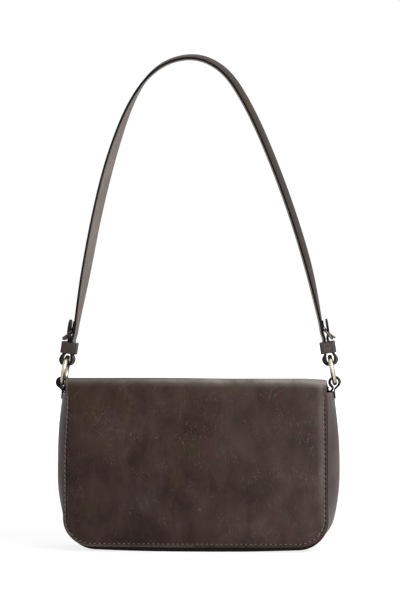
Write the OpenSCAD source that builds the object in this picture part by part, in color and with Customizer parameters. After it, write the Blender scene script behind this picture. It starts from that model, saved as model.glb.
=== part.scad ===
// Baguette shoulder bag: a lined leather body with a swelling gusset, a fold-over flap with a magnetic
// snap, and one flat strap that buckles round two metal rings.
// Millimetres. X runs across the bag, the front faces -Y, and the bag stands on z = 0.

/* [Body] */
// Width of the front and back panels
panel_w = 234; // [210:1:270]
// Height of the flap's top fold above the table
body_h = 155; // [140:1:185]
// Depth of the gusset between the two panels
gusset_d = 48; // [40:1:64]
// Radius of the bottom corners of the panels and the gusset
panel_r = 26; // [18:1:36]
// Thickness of the body leather
leather_t = 2; // [1.6:0.1:2.6]
// How far the gusset swells past the panels' side edges
bulge = 10; // [6:0.5:13]
// Height at which the gusset swells most
bulge_z = 70; // [50:1:85]
// How much of the swelling is gone at the gusset's top edge, as a share
bulge_fade = 0.5; // [0.2:0.05:0.7]
// Drop from the top fold to the gusset's top edge
gusset_drop = 14; // [10:1:20]
// Drop from the top fold to the front panel's top edge, which opens the mouth
mouth_drop = 29; // [20:1:45]

/* [Lining] */
// Thickness of the lining cloth
lining_t = 0.8; // [0.5:0.1:1.2]
// Thickness of the stiff board in the base
board_t = 2; // [1.6:0.1:3]
// Drop from the gusset's top edge to the top edge of its lining
lining_drop = 2; // [1:0.5:4]
// Width of the slip pocket
pocket_w = 136; // [90:1:160]
// Height of the slip pocket
pocket_h = 74; // [50:1:85]
// Room inside the slip pocket, front to back
pocket_gap = 5; // [4.5:0.5:10]
// Height of the slip pocket's lower edge
pocket_z = 36; // [30:1:44]

/* [Flap] */
// How far the flap's side edges lie inside the panels' side edges
flap_inset = 1; // [0:0.5:8]
// Radius of the flap's bottom corners
flap_r = 21; // [12:1:32]
// Gap between the flap's bottom edge and the table
flap_lift = 2.5; // [1:0.5:8]
// How much lower the back of the top leaf lies than its front
leaf_fall = 5.5; // [4:0.5:7]
// How far the flap leather laps down the back panel
back_lap = 26; // [15:1:40]
// Radius of the bend where the flap leather turns down the back
back_bend_r = 4; // [3:0.5:6]
// Inset of the flap lining from the flap's edges
flap_lining_inset = 6; // [3:0.5:12]

/* [Magnetic snap] */
// Radius of the snap's two discs
snap_r = 9; // [7:0.5:11]
// Height of the snap's centre
snap_z = 42; // [32:1:60]
// Thickness of the socket on the front panel
socket_t = 2; // [1.6:0.1:3]
// Thickness of the stud's disc under the flap
stud_disc_t = 1.2; // [0.8:0.1:2]
// Radius of the stud's pin
stud_pin_r = 3; // [2:0.1:4]
// Play between the two discs, and round the pin
snap_play = 0.4; // [0.3:0.05:0.6]
// Thickness of the snap's hidden washers
washer_t = 0.6; // [0.4:0.1:0.9]
// Radius of the snap's hidden washers
washer_r = 7; // [5:0.5:9]

/* [Rings and tabs] */
// Inside diameter of the rings
ring_id = 20; // [18:0.5:24]
// Wire diameter of the rings
ring_wire = 4; // [3:0.1:4.4]
// How far the ring centres stand outside the panels' side edges
ring_out = 3.5; // [2.5:0.25:5.5]
// Height of the ring centres above the gusset's top edge
ring_rise = 19.4; // [19:0.1:23]
// Lean of each ring towards the middle, in degrees
ring_lean = 10.5; // [6:0.5:12]
// Width of the leather tab through each ring
tab_w = 12; // [9:0.5:12.5]
// Thickness of the tab leather where it wraps the ring
tab_t = 1.8; // [1.4:0.1:2.2]
// Play between the wire and the tab's loop
tab_play = 1.7; // [1.5:0.1:1.9]
// How far the tab is sewn in below the gusset's top edge
tab_sewn = 14; // [8:1:22]

/* [Strap] */
// Width of the strap
strap_w = 15; // [12:0.5:16]
// Thickness of the strap's outer leather
strap_outer_t = 2; // [1.6:0.1:2.4]
// Thickness of the strap's lining leather
strap_inner_t = 1.2; // [0.8:0.1:1.6]
// Height of the crown above the tips of the tails
strap_rise = 237.5; // [160:0.5:320]
// Lean of the strap's ends towards the middle, in degrees
leg_lean = 9; // [7:0.5:12]
// Play between the wire and the strap's loop
strap_play = 2.4; // [2.2:0.1:2.7]
// Length of the tail above the middle of the loop
tail_len = 36; // [32:0.5:46]
// Gap between the leg and the tail, which the buckle's bar and its holder fill
tail_gap = 3.2; // [3.1:0.05:3.6]
// Height above the loop at which the leg and the tail run side by side
close_u = 9; // [8.5:0.25:10]
// Diameter of the spare hole in each leg
spare_hole_d = 2.4; // [2.2:0.1:3]
// Height of the spare hole above the loop
spare_hole_u = 18.5; // [18:0.25:20]

/* [Keeper and buckle] */
// Height of the leather keeper
keeper_h = 10.5; // [8:0.5:11]
// Height of the keeper's lower edge above the middle of the loop
keeper_u = 5.25; // [5:0.25:5.5]
// Wall of the keeper
keeper_t = 1.6; // [1.2:0.1:2]
// Slack inside the keeper, on the strap's lining side
keeper_slack_in = 0.5; // [0.4:0.1:1]
// Slack inside the keeper, on the tail's side
keeper_slack_out = 1.7; // [1.5:0.1:2]
// Slack inside the keeper at each edge of the strap
keeper_slack_side = 0.3; // [0.3:0.1:1]
// Diameter of the buckle's frame
buckle_wire = 2.2; // [1.8:0.1:2.4]
// Diameter of the buckle's bar
bar_d = 1.6; // [1.4:0.1:1.8]
// Height of the buckle's bar above the middle of the loop
bar_u = 26; // [26:0.25:28]
// Distance that the frame's free side lies below the bar
buckle_drop = 8; // [7.5:0.25:8]
// Play between the strap's edges and the buckle's sides
buckle_play = 0.6; // [0.4:0.1:1.2]
// Radial play between the bar and what turns on it
bar_play = 0.05; // [0.03:0.01:0.08]
// Leather thickness of the loop that holds the bar
holder_t = 0.7; // [0.6:0.05:0.75]
// Diameter of the prong
prong_d = 1.5; // [1.2:0.1:1.8]
// How far the prong reaches past the frame's free side
prong_over = 1.4; // [1:0.1:1.8]
// Width of the prong's eye on the bar
prong_eye_w = 2.4; // [2:0.1:3]
// Angle through which the prong can lift before it meets the end of its slot, in degrees
prong_lift = 25; // [15:1:30]

/* [Hidden] */
$fn = 64;

// Clearance between pieces that are only laid together
fit = 0.2;
// Clearance between pieces that move past each other
free = 0.3;

// Depth of each layer, from the flap's outer face to the lap on the back
snap_gap = socket_t + stud_disc_t + snap_play;
depth = 4 * leather_t + lining_t + snap_gap + gusset_d;
y_flap = -depth / 2;
y_front = y_flap + leather_t + lining_t + snap_gap;
y_gf = y_front + leather_t;
y_gb = y_gf + gusset_d;
y_back = y_gb + leather_t;
y_mid = (y_gf + y_gb) / 2;

// Heights
gusset_h = body_h - gusset_drop;
front_h = body_h - mouth_drop;

// Width of the flap leather
flap_w = panel_w - 2 * flap_inset;

// The back panel ends just under the bend where the flap leather turns down over it
back_bend_z = body_h - leather_t / 2 - leaf_fall - back_bend_r;
back_h = back_bend_z - fit;

// The flap turns about the middle of the leather at its front fold
fold_r = leather_t / 2;
fold_y = y_flap + fold_r;
fold_z = body_h - fold_r;

// The rings stand in the middle of the gusset, over its top edge
ring_r = (ring_id + ring_wire) / 2;
ring_x = panel_w / 2 + ring_out;
ring_z = gusset_h + ring_rise;

// Middle of the tab's loop and of the strap's loop. The wire curves away inside a straight loop, so the
// loop of half width h and bore r lies where the wire has equal room at its middle and at its edges
function reach(h, r) = ring_r - h * h / (4 * (ring_r - r));
tab_in = ring_wire / 2 + tab_play;
loop_in = ring_wire / 2 + strap_play;
tab_reach = reach(tab_w / 2, tab_in);
loop_reach = reach(strap_w / 2, loop_in);
tab_c = [ring_x + tab_reach * sin(ring_lean), ring_z - tab_reach * cos(ring_lean)];
loop_c = [ring_x - loop_reach * sin(ring_lean), ring_z + loop_reach * cos(ring_lean)];

// Across the strap's end, outwards from the middle of the loop: middle of the leg's outer leather, the
// tail and the buckle. The pair lies a little towards the middle of the bag, under the crown
pair_n = 0.4;
leg_n = -pair_n - tail_gap / 2 - strap_outer_t / 2;
tail_n = -pair_n + tail_gap / 2 + strap_outer_t / 2;
loop_n = loop_in + strap_outer_t / 2;
leg_face = leg_n - strap_outer_t / 2 - strap_inner_t;
tail_face = tail_n + strap_outer_t / 2;
keeper_in = leg_face - keeper_slack_in;
keeper_out = tail_face + keeper_slack_out;
bar_n = -pair_n;
free_n = tail_face + buckle_wire / 2 + free;
free_u = bar_u - buckle_drop;
side_y = strap_w / 2 + buckle_play + buckle_wire / 2;
holder_r = bar_d / 2 + bar_play + holder_t;
buckle_len = norm([free_n - bar_n, buckle_drop]);
buckle_tilt = atan2(buckle_drop, free_n - bar_n);
prong_rest = buckle_tilt - asin((buckle_wire / 2 + prong_d / 2 + 2 * bar_play) / buckle_len);
prong_len = buckle_len + prong_over;
prong_slot_w = prong_d + 2 * free;

// The arch begins at the tails' tips, so the leg stays straight beside the tail and the buckle
leg_u = tail_len;

// Outline of the U that the panels and the gusset share, from the left top edge down, along the base and
// up: [x, z, outward x, outward z] at each station, inset by d
corner_steps = 8;
side_steps = 10;
function u_side(s, d, h) = [for (i = [0:side_steps - 1])
    let (z = h + (panel_r - h) * i / side_steps) [s * (panel_w / 2 - d), z, s, 0]];
function u_corner(s, d) = [for (i = [0:corner_steps])
    let (a = 90 * i / corner_steps)
    [s * (panel_w / 2 - panel_r + (panel_r - d) * cos(a)), panel_r - (panel_r - d) * sin(a),
     s * cos(a), -sin(a)]];
function flip(v) = [for (i = [len(v) - 1:-1:0]) v[i]];
function u_path(d, h) = concat(u_side(-1, d, h), u_corner(-1, d), flip(u_corner(1, d)),
                               flip(u_side(1, d, h)));

// Swelling of the gusset at height z: it grows from the base to bulge_z, then fades to the top edge
bulge_start = 8;
function clamp01(t) = min(1, max(0, t));
function swell(z) = bulge * (z < bulge_z
    ? sin(90 * clamp01((z - bulge_start) / (bulge_z - bulge_start)))
    : 1 - bulge_fade * pow((z - bulge_z) / (gusset_h - bulge_z), 2));

// Share of the swelling at depth y: none at the panels, all of it in the middle
function crown(y) = 1 - pow(2 * (y - y_mid) / gusset_d, 2);

// Slab in the XZ plane between two depths
module slab(y0, y1) {
    translate([0, y1, 0]) rotate([90, 0, 0]) linear_extrude(y1 - y0) children();
}

// Rectangle with round corners, centred
module rounded(w, d, r) {
    square([w - 2 * r, d], center = true);
    square([w, d - 2 * r], center = true);
    for (x = [-1, 1], y = [-1, 1]) translate([x * (w / 2 - r), y * (d / 2 - r)]) circle(r);
}

// Panel outline with square top and round bottom corners, from z0 up to z1
module panel_shape(w, r, z0, z1) {
    translate([-w / 2, z0 + r]) square([w, z1 - z0 - r]);
    translate([-w / 2 + r, z0]) square([w - 2 * r, r]);
    for (s = [-1, 1]) translate([s * (w / 2 - r), z0 + r]) circle(r);
}

// Curved strip along the U: its outer face lies d inside the outline and swells with it
across_steps = 8;
module swelling_strip(d, t, y0, y1, h) {
    outer = u_path(d, h);
    inner = u_path(d + t, h);
    n = len(outer);
    m = across_steps + 1;
    ys = [for (j = [0:across_steps]) y0 + (y1 - y0) * j / across_steps];
    function at(p, y) = let (b = swell(p[1]) * crown(y)) [p[0] + p[2] * b, y, p[1] + p[3] * b];
    points = concat([for (p = outer, y = ys) at(p, y)], [for (p = inner, y = ys) at(p, y)]);
    k = n * m;
    faces = concat(
        [for (i = [0:n - 2], j = [0:m - 2])
            [i * m + j, i * m + j + 1, (i + 1) * m + j + 1, (i + 1) * m + j]],
        [for (i = [0:n - 2], j = [0:m - 2])
            [k + (i + 1) * m + j, k + (i + 1) * m + j + 1, k + i * m + j + 1, k + i * m + j]],
        [for (i = [0:n - 2]) [i * m, (i + 1) * m, k + (i + 1) * m, k + i * m]],
        [for (i = [0:n - 2])
            [k + i * m + m - 1, k + (i + 1) * m + m - 1, (i + 1) * m + m - 1, i * m + m - 1]],
        [for (j = [0:m - 2]) [j + 1, j, k + j, k + j + 1]],
        [for (j = [0:m - 2])
            [(n - 1) * m + j, (n - 1) * m + j + 1, k + (n - 1) * m + j + 1, k + (n - 1) * m + j]]);
    polyhedron(points, faces, convexity = 6);
}

// Front panel, with a shallow recess behind it for the snap's washer
module front_panel() {
    color("#43312d") difference() {
        slab(y_front, y_gf) panel_shape(panel_w, panel_r, 0, front_h);
        at_snap(y_gf - washer_t - fit, y_gf + 1) circle(washer_r + fit);
    }
}

// Back panel
module back_panel() {
    color("#3f2e2a") slab(y_gb, y_back) panel_shape(panel_w, panel_r, 0, back_h);
}

// Gusset: one strip down the left side, under the base and up the right side
module gusset() {
    color("#574a48") swelling_strip(0, leather_t, y_gf, y_gb, gusset_h);
}

// Stiff board that lies on the gusset, under the lining
module base_board() {
    w = panel_w - 2 * panel_r - 2;
    color("#8a7a62") translate([-w / 2, y_gf + lining_t, leather_t])
        cube([w, gusset_d - 2 * lining_t, board_t]);
}

// Lining against the front panel
module lining_front() {
    color("#8b7765") slab(y_gf, y_gf + lining_t) lining_shape(front_h - lining_drop);
}

// Lining against the back panel
module lining_back() {
    color("#8b7765") slab(y_gb - lining_t, y_gb) lining_shape(gusset_h - lining_drop);
}

module lining_shape(h) {
    inset = leather_t + fit;
    panel_shape(panel_w - 2 * inset, panel_r - inset, inset, h);
}

// Lining along the gusset, over the board
module lining_gusset() {
    color("#8b7765") swelling_strip(leather_t + board_t, lining_t, y_gf + lining_t, y_gb - lining_t,
                                    gusset_h - lining_drop);
}

// Slip pocket sewn to the back lining, open at its top
module slip_pocket() {
    y1 = y_gb - lining_t;
    y0 = y1 - pocket_gap - lining_t;
    color("#9a8672") difference() {
        translate([-pocket_w / 2, y0, pocket_z]) cube([pocket_w, y1 - y0, pocket_h]);
        translate([-pocket_w / 2 + lining_t, y0 + lining_t, pocket_z + lining_t])
            cube([pocket_w - 2 * lining_t, y1, pocket_h]);
    }
}

// Top of the flap leather: from just behind the front fold, over the mouth and down the back
module flap_top() {
    y0 = fold_y + fold_r + free;
    y1 = y_back + leather_t / 2;
    slope = atan2(leaf_fall, y1 - y0);
    c = [y1 - back_bend_r, back_bend_z];
    bend = [for (i = [0:bend_steps]) let (a = (90 - slope) * (1 - i / bend_steps))
        c + back_bend_r * [cos(a), sin(a)]];
    path = concat([[y0, fold_z]], bend, [[y1, c[1] - back_lap]]);
    color("#4a3733") translate([-flap_w / 2, 0, 0]) rotate([90, 0, 90])
        linear_extrude(flap_w) band(path, -leather_t / 2, leather_t / 2);
}

// Angles at which the tab's neck leaves its loop, right to left over the top
tab_arc = [-48, 192];
tab_steps = 24;
bend_steps = 8;

// Place one side's ring, tab or strap end: the right side as drawn, the left side mirrored
module on_side(s) {
    mirror([s < 0 ? 1 : 0, 0, 0]) children();
}

// Leather tab: a loop round the ring's lower wire, a neck, and a tongue sewn inside the gusset
module tab(s) {
    edge = crown(y_mid + tab_w / 2);
    top = gusset_h + fit;
    z0 = gusset_h - tab_sewn;
    r = tab_in + tab_t;
    function out_x(z) = panel_w / 2 + swell(z) * edge - leather_t - fit / 2;
    function in_x(z) = panel_w / 2 + swell(z) - leather_t - board_t + fit / 2;
    loop = [for (i = [0:tab_steps]) let (a = tab_arc[0] + (tab_arc[1] - tab_arc[0]) * i / tab_steps)
        tab_c + r * [cos(a), sin(a)]];
    outline = concat(loop, [[in_x(top), top], [in_x(z0), z0], [out_x(z0), z0], [out_x(top), top],
                            [out_x(top) + leather_t + fit, top]]);
    color("#4a3834") on_side(s) difference() {
        slab(y_mid - tab_w / 2, y_mid + tab_w / 2) polygon(outline);
        translate([tab_c[0], y_mid + tab_w, tab_c[1]]) rotate([90, 0, 0])
            cylinder(r = tab_in, h = 2 * tab_w);
    }
}

// Slab on the snap's axis between two depths
module at_snap(y0, y1) {
    translate([0, y1, snap_z]) rotate([90, 0, 0]) linear_extrude(y1 - y0) children();
}

// Snap socket: a disc on the front panel with a bore for the stud
module snap_socket() {
    color("#b39b68") at_snap(y_front - socket_t, y_front) difference() {
        circle(snap_r);
        circle(stud_pin_r + snap_play);
    }
}

// Washer that clinches the socket behind the front panel
module socket_washer() {
    color("#9a9a98") at_snap(y_gf - washer_t, y_gf) difference() {
        circle(washer_r);
        circle(washer_r / 3);
    }
}

// Front of the flap, from the fold down, with a shallow recess behind it for the stud's washer
module flap_front() {
    color("#4b3935") difference() {
        union() {
            slab(y_flap, y_flap + leather_t) panel_shape(flap_w, flap_r, flap_lift, fold_z);
            translate([-flap_w / 2, fold_y, fold_z]) rotate([0, 90, 0]) cylinder(r = fold_r, h = flap_w);
        }
        at_snap(y_flap + leather_t - washer_t - fit, y_flap + leather_t + 1) circle(washer_r + fit);
    }
}

// Lining on the inside of the flap
module flap_lining() {
    w = flap_w - 2 * flap_lining_inset;
    y0 = y_flap + leather_t;
    color("#6a574d") slab(y0, y0 + lining_t)
        panel_shape(w, flap_r - flap_lining_inset, flap_lift + flap_lining_inset,
                    fold_z - 2 * leather_t);
}

// Snap stud: a disc on the flap lining with a pin that enters the socket
module snap_stud() {
    y0 = y_flap + leather_t + lining_t;
    color("#b39b68") {
        at_snap(y0, y0 + stud_disc_t) circle(snap_r);
        at_snap(y0, y_front - free) circle(stud_pin_r);
    }
}

// Washer that clinches the stud between the flap leather and its lining
module stud_washer() {
    y1 = y_flap + leather_t;
    color("#9a9a98") at_snap(y1 - washer_t, y1) difference() {
        circle(washer_r);
        circle(washer_r / 3);
    }
}

// Round metal ring that leans towards the middle
module ring(s) {
    color("#c6b98a") on_side(s) translate([ring_x, y_mid, ring_z]) rotate([0, 90 - ring_lean, 0])
        rotate_extrude() translate([ring_r, 0]) circle(d = ring_wire);
}

// Centreline of the strap's outer leather at one end, from the tail's tip down, round the loop and up the
// leg: [outwards, up] from the middle of the loop
tail_arc = 30;
leg_arc = 20;
arc_steps = 14;
ease_steps = 4;
function ease(n0, u0, n1) = [for (i = [1:ease_steps]) let (t = i / ease_steps)
    [n1 + (n0 - n1) * pow(1 - t, 2), u0 + (close_u - u0) * t]];
function end_path() = concat(
    [[tail_n, tail_len]],
    flip(ease(loop_n * cos(tail_arc), loop_n * sin(tail_arc), tail_n)),
    [for (i = [0:arc_steps]) let (a = tail_arc - (180 + tail_arc + leg_arc) * i / arc_steps)
        loop_n * [cos(a), sin(a)]],
    ease(-loop_n * cos(leg_arc), loop_n * sin(leg_arc), leg_n),
    [[leg_n, leg_u]]);

// Turn a point beside the loop into x and z on side s
function end_xz(p, s) = [s * (loop_c[0] + p[0] * cos(leg_lean) - p[1] * sin(leg_lean)),
                         loop_c[1] + p[0] * sin(leg_lean) + p[1] * cos(leg_lean)];

// The arch between the two legs: shares of the half span and of the rise, because a hanging strap is never
// quite even
leg_top = end_xz([leg_n, leg_u], 1);
arch_shape = [[-1, 0], [-0.916, 0.218], [-0.823, 0.432], [-0.719, 0.617], [-0.59, 0.786],
              [-0.463, 0.895], [-0.336, 0.956], [-0.206, 0.988], [-0.057, 1], [0.066, 0.99],
              [0.196, 0.956], [0.314, 0.895], [0.47, 0.765], [0.635, 0.585], [0.787, 0.388],
              [0.911, 0.192], [1, 0]];
arch_points = [for (p = arch_shape) [p[0] * leg_top[0], leg_top[1] + p[1] * strap_rise]];
arch_steps = 4;
function spline(a, b, c, d, t) = 0.5 * (2 * b + (c - a) * t + (2 * a - 5 * b + 4 * c - d) * t * t
                                        + (3 * b - a - 3 * c + d) * t * t * t);
function lead_in(s) = end_xz([leg_n, leg_u - tail_len], s);
function arch_path() =
    let (p = concat([lead_in(-1)], arch_points, [lead_in(1)]))
    [for (i = [1:len(p) - 3], k = [0:arch_steps - 1]) if (i > 1 || k > 0)
        spline(p[i - 1], p[i], p[i + 1], p[i + 2], k / arch_steps)];

// The whole centreline, and the part of it that the lining leather follows
end_points = end_path();
lining_start = 2 + ease_steps + arc_steps + 2;
strap_path = concat([for (p = end_points) end_xz(p, -1)], arch_path(),
                    flip([for (p = end_points) end_xz(p, 1)]));
function middle_of(v, k) = [for (i = [k:len(v) - 1 - k]) v[i]];
function unit(v) = v / norm(v);
function left_of(v) = [-v[1], v[0]];

// Band between two offsets from a path, on its outer side where they are positive
module band(path, lo, hi) {
    n = len(path);
    normals = [for (i = [0:n - 1]) let (a = path[max(0, i - 1)], b = path[min(n - 1, i + 1)])
        left_of(unit(b - a))];
    polygon(concat([for (i = [0:n - 1]) path[i] + hi * normals[i]],
                   [for (i = [n - 1:-1:0]) path[i] + lo * normals[i]]));
}

module strap_slab() {
    slab(y_mid - strap_w / 2, y_mid + strap_w / 2) children();
}

// Place a piece beside the loop: local X outwards from the leg, local Z up the leg
module at_end(s) {
    on_side(s) translate([loop_c[0], y_mid, loop_c[1]]) rotate([0, -leg_lean, 0]) children();
}

// Round bar through the strap's width
module cross_bar(n, u, r, half) {
    translate([n, half, u]) rotate([90, 0, 0]) cylinder(r = r, h = 2 * half);
}

// Spare hole through each leg, for a shorter setting
module spare_hole() {
    translate([leg_face - 1, 0, spare_hole_u]) rotate([0, 90, 0])
        cylinder(d = spare_hole_d, h = leg_n - leg_face + strap_outer_t / 2 + 2);
}

// Slot in the tail that the prong passes through
module prong_slot() {
    low = bar_u - (tail_face - bar_n) * tan(prong_rest) - prong_d / 2 / cos(prong_rest) - free;
    high = bar_u - (tail_face - strap_outer_t - bar_n) * tan(prong_rest - prong_lift)
           + prong_d / 2 / cos(prong_rest - prong_lift) + free;
    r = prong_slot_w / 2;
    x0 = tail_face - strap_outer_t - 1;
    for (u = [low + r, high - r]) translate([x0, 0, u]) rotate([0, 90, 0])
        cylinder(r = r, h = strap_outer_t + 2);
    translate([x0, -r, low + r]) cube([strap_outer_t + 2, 2 * r, high - low - 2 * r]);
}

// Outer leather of the strap: tail, loop, leg, arch, leg, loop and tail in one length
module strap_outer() {
    color("#45332f") difference() {
        strap_slab() band(strap_path, -strap_outer_t / 2, strap_outer_t / 2);
        for (s = [-1, 1]) at_end(s) {
            spare_hole();
            prong_slot();
        }
    }
}

// Lining leather of the strap, from one leg over the arch to the other
module strap_inner() {
    color("#7b6b62") difference() {
        strap_slab() band(middle_of(strap_path, lining_start), -strap_outer_t / 2 - strap_inner_t,
                          -strap_outer_t / 2);
        for (s = [-1, 1]) at_end(s) spare_hole();
    }
}

// Leather holder of the buckle's bar, sewn to the leg behind the tail
module bar_holder(s) {
    half = strap_w / 2 - 2;
    plate_t = 2 * holder_t;
    color("#3d2c28") at_end(s) difference() {
        union() {
            cross_bar(bar_n, bar_u, holder_r, half);
            translate([leg_n + strap_outer_t / 2, -half, bar_u])
                cube([plate_t, 2 * half, tail_len - bar_u - 1]);
        }
        cross_bar(bar_n, bar_u, bar_d / 2 + bar_play, strap_w);
        translate([leg_n + strap_outer_t / 2 + fit - holder_r, -prong_eye_w / 2 - free, bar_u - 2 * holder_r])
            cube([4 * holder_r, prong_eye_w + 2 * free, 3 * holder_r + free]);
    }
}

// Buckle frame: a bar between the leg and the tail, a knuckle at each end of it, and a free side
module buckle_frame(s) {
    r = buckle_wire / 2;
    side_r = r - 0.15;
    color("#bfae7a") at_end(s) {
        cross_bar(bar_n, bar_u, bar_d / 2, side_y);
        cross_bar(free_n, free_u, r, side_y + r);
        for (y = [-side_y, side_y]) {
            translate([0, y, 0]) cross_bar(bar_n, bar_u, r, r);
            translate([bar_n, y, bar_u]) rotate([0, 90 + buckle_tilt, 0])
                cylinder(r = side_r, h = buckle_len);
        }
    }
}

// Prong: an eye on the bar and a finger through the tail's slot, over the frame's free side
module prong(s) {
    color("#c9ba88") at_end(s) difference() {
        union() {
            cross_bar(bar_n, bar_u, holder_r, prong_eye_w / 2);
            translate([bar_n, 0, bar_u]) rotate([0, 90 + prong_rest, 0]) {
                cylinder(d = prong_d, h = prong_len);
                translate([0, 0, prong_len]) sphere(d = prong_d);
            }
        }
        cross_bar(bar_n, bar_u, bar_d / 2 + bar_play, strap_w);
    }
}

// Leather keeper round the leg and the tail
module keeper(s) {
    w = keeper_out - keeper_in;
    d = strap_w + 2 * keeper_slack_side;
    color("#5b4b45") at_end(s) translate([(keeper_in + keeper_out) / 2, 0, keeper_u])
        linear_extrude(keeper_h) difference() {
            rounded(w + 2 * keeper_t, d + 2 * keeper_t, keeper_t);
            square([w, d], center = true);
        }
}

front_panel();
back_panel();
gusset();
base_board();
lining_front();
lining_back();
lining_gusset();
slip_pocket();
flap_top();
tab(-1);  // tab_left
tab(1);  // tab_right
snap_socket();
socket_washer();
flap_front();
flap_lining();
snap_stud();
stud_washer();
ring(-1);  // ring_left
ring(1);  // ring_right
strap_outer();
strap_inner();
bar_holder(-1);  // bar_holder_left
bar_holder(1);  // bar_holder_right
buckle_frame(-1);  // buckle_frame_left
buckle_frame(1);  // buckle_frame_right
prong(-1);  // prong_left
prong(1);  // prong_right
keeper(-1);  // keeper_left
keeper(1);  // keeper_right
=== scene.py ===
"""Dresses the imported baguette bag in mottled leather, with a swelling gusset and a twisted strap."""

import logging
import math
from dataclasses import dataclass, field
from enum import Enum
from typing import Any, Callable, Optional, Sequence

import bpy
import numpy as np
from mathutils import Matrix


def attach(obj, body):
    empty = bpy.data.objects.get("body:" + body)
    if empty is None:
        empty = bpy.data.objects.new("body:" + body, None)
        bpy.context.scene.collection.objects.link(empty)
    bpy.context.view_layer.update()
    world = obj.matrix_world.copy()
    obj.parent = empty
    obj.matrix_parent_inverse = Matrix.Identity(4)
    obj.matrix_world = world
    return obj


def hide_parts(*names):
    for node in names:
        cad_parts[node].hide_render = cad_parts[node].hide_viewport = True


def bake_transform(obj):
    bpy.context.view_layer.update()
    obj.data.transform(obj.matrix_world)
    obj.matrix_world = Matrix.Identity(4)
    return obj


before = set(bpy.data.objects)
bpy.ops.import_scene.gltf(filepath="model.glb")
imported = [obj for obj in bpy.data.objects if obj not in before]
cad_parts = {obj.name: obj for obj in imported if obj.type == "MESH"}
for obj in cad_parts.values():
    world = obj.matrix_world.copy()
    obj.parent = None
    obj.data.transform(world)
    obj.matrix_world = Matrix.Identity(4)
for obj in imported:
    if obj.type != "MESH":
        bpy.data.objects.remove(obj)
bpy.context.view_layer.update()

LOG = logging.getLogger("baguette_bag")
MM = 0.001
Array = np.ndarray
Colour = tuple[float, float, float]


class Side(Enum):
    """The two ends of the bag, as the sign of x."""

    LEFT = -1
    RIGHT = 1

    @property
    def word(self) -> str:
        """The side's name as the CAD nodes spell it."""
        return self.name.lower()


class Lie(Enum):
    """How a row of stitches lies on its seam."""

    STRAIGHT = 0.0
    LEANT = 9.0


# Sizes


@dataclass(frozen=True)
class BagSizes:
    """The bag's own sizes in millimetres.

    They are those of the part's source, apart from the flap's lower edge, corners and curl, which are the
    finished leather's.
    """

    panel_w: float = 234.0
    panel_r: float = 26.0
    leather_t: float = 2.0
    board_t: float = 2.0
    y_flap: float = -30.2
    y_front: float = -23.8
    y_gf: float = -21.8
    y_gb: float = 26.2
    y_back: float = 28.2
    gusset_h: float = 141.0
    front_h: float = 126.0
    back_h: float = 144.3
    bulge: float = 10.0
    bulge_z: float = 70.0
    bulge_start: float = 8.0
    bulge_fade: float = 0.5
    snap_z: float = 42.0
    base_lift: float = 3.0
    base_fade: float = 60.0
    base_stop: float = 1.1
    flap_w: float = 232.0
    flap_r: float = 25.0
    flap_z: float = 4.2
    fold_z: float = 150.0
    flap_curl: float = 2.8
    curl_over: float = 15.0
    curl_fade: float = 32.0

    @property
    def y_mid(self) -> float:
        """Middle of the gusset, front to back."""
        return (self.y_gf + self.y_gb) / 2

    @property
    def half(self) -> float:
        """Half of the panels' width."""
        return self.panel_w / 2

    def swell(self, z: Array) -> Array:
        """Swelling of the gusset at height z.

        A quarter sine from bulge_start up to bulge_z, then a parabola that loses bulge_fade of it by the top.

        Args:
            z: Heights in millimetres.

        Returns:
            How far the gusset's middle stands out at each height.
        """
        low = np.sin(np.pi / 2 * np.clip((z - self.bulge_start) / (self.bulge_z - self.bulge_start), 0, 1))
        high = 1 - self.bulge_fade * ((z - self.bulge_z) / (self.gusset_h - self.bulge_z)) ** 2
        return self.bulge * np.where(z < self.bulge_z, low, high)

    def crown(self, y: Array) -> Array:
        """Share of the swelling at depth y: one minus the square of the distance from the middle."""
        return 1 - (2 * (y - self.y_mid) / (self.y_gb - self.y_gf)) ** 2

    def base_rise(self, x: Array, z: Array) -> Array:
        """Lift of the base line towards its ends.

        base_lift times the square of the distance from the middle, as a share of half the width that stops
        growing at base_stop, fading out over the lowest base_fade.

        Args:
            x: Places across the bag.
            z: Heights.

        Returns:
            The height to add at each point.
        """
        share = np.minimum(np.abs(x) / self.half, self.base_stop)
        return self.base_lift * share ** 2 * np.clip(1 - z / self.base_fade, 0, 1)

    def flap_tuck(self, x: Array, z: Array) -> Array:
        """How far the flap's margins curl back towards the body.

        flap_curl at the edge, easing to nothing curl_over inside it, and fading out over curl_fade up to
        the fold.

        Args:
            x: Places across.
            z: Heights.

        Returns:
            Distance backwards.
        """
        d = inside_edge(x, z, self.flap_w, self.flap_r, self.flap_z)
        fade = smooth_step((self.fold_z - z) / self.curl_fade)
        return self.flap_curl * (1 - smooth_step(d / self.curl_over)) * fade


BAG = BagSizes()


# Meshes from arrays


def smooth_step(t: Array) -> Array:
    """Cubic ease from 0 to 1, flat at both ends."""
    t = np.clip(t, 0, 1)
    return t * t * (3 - 2 * t)


def unit(v: Array) -> Array:
    """Vectors along the last axis scaled to length one."""
    return v / np.maximum(np.linalg.norm(v, axis=-1, keepdims=True), 1e-9)


def inside_edge(x: Array, z: Array, width: float, radius: float, bottom: float) -> Array:
    """Distance inside the sides and the bottom of a plate with round lower corners.

    It is the signed distance of a rounded box that goes on upwards.

    Args:
        x: Places across.
        z: Heights.
        width: Width of the plate.
        radius: Radius of its lower corners.
        bottom: Height of its lower edge.

    Returns:
        Distance from the nearest edge, negative outside.
    """
    qx = np.abs(x) - (width / 2 - radius)
    qz = bottom + radius - z
    return radius - np.hypot(np.maximum(qx, 0), np.maximum(qz, 0)) - np.minimum(np.maximum(qx, qz), 0)


def lengths_along(path: Array) -> Array:
    """Distance of each point of a polyline from its first point, along it."""
    return np.concatenate([[0], np.cumsum(np.linalg.norm(np.diff(path, axis=0), axis=1))])


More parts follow.
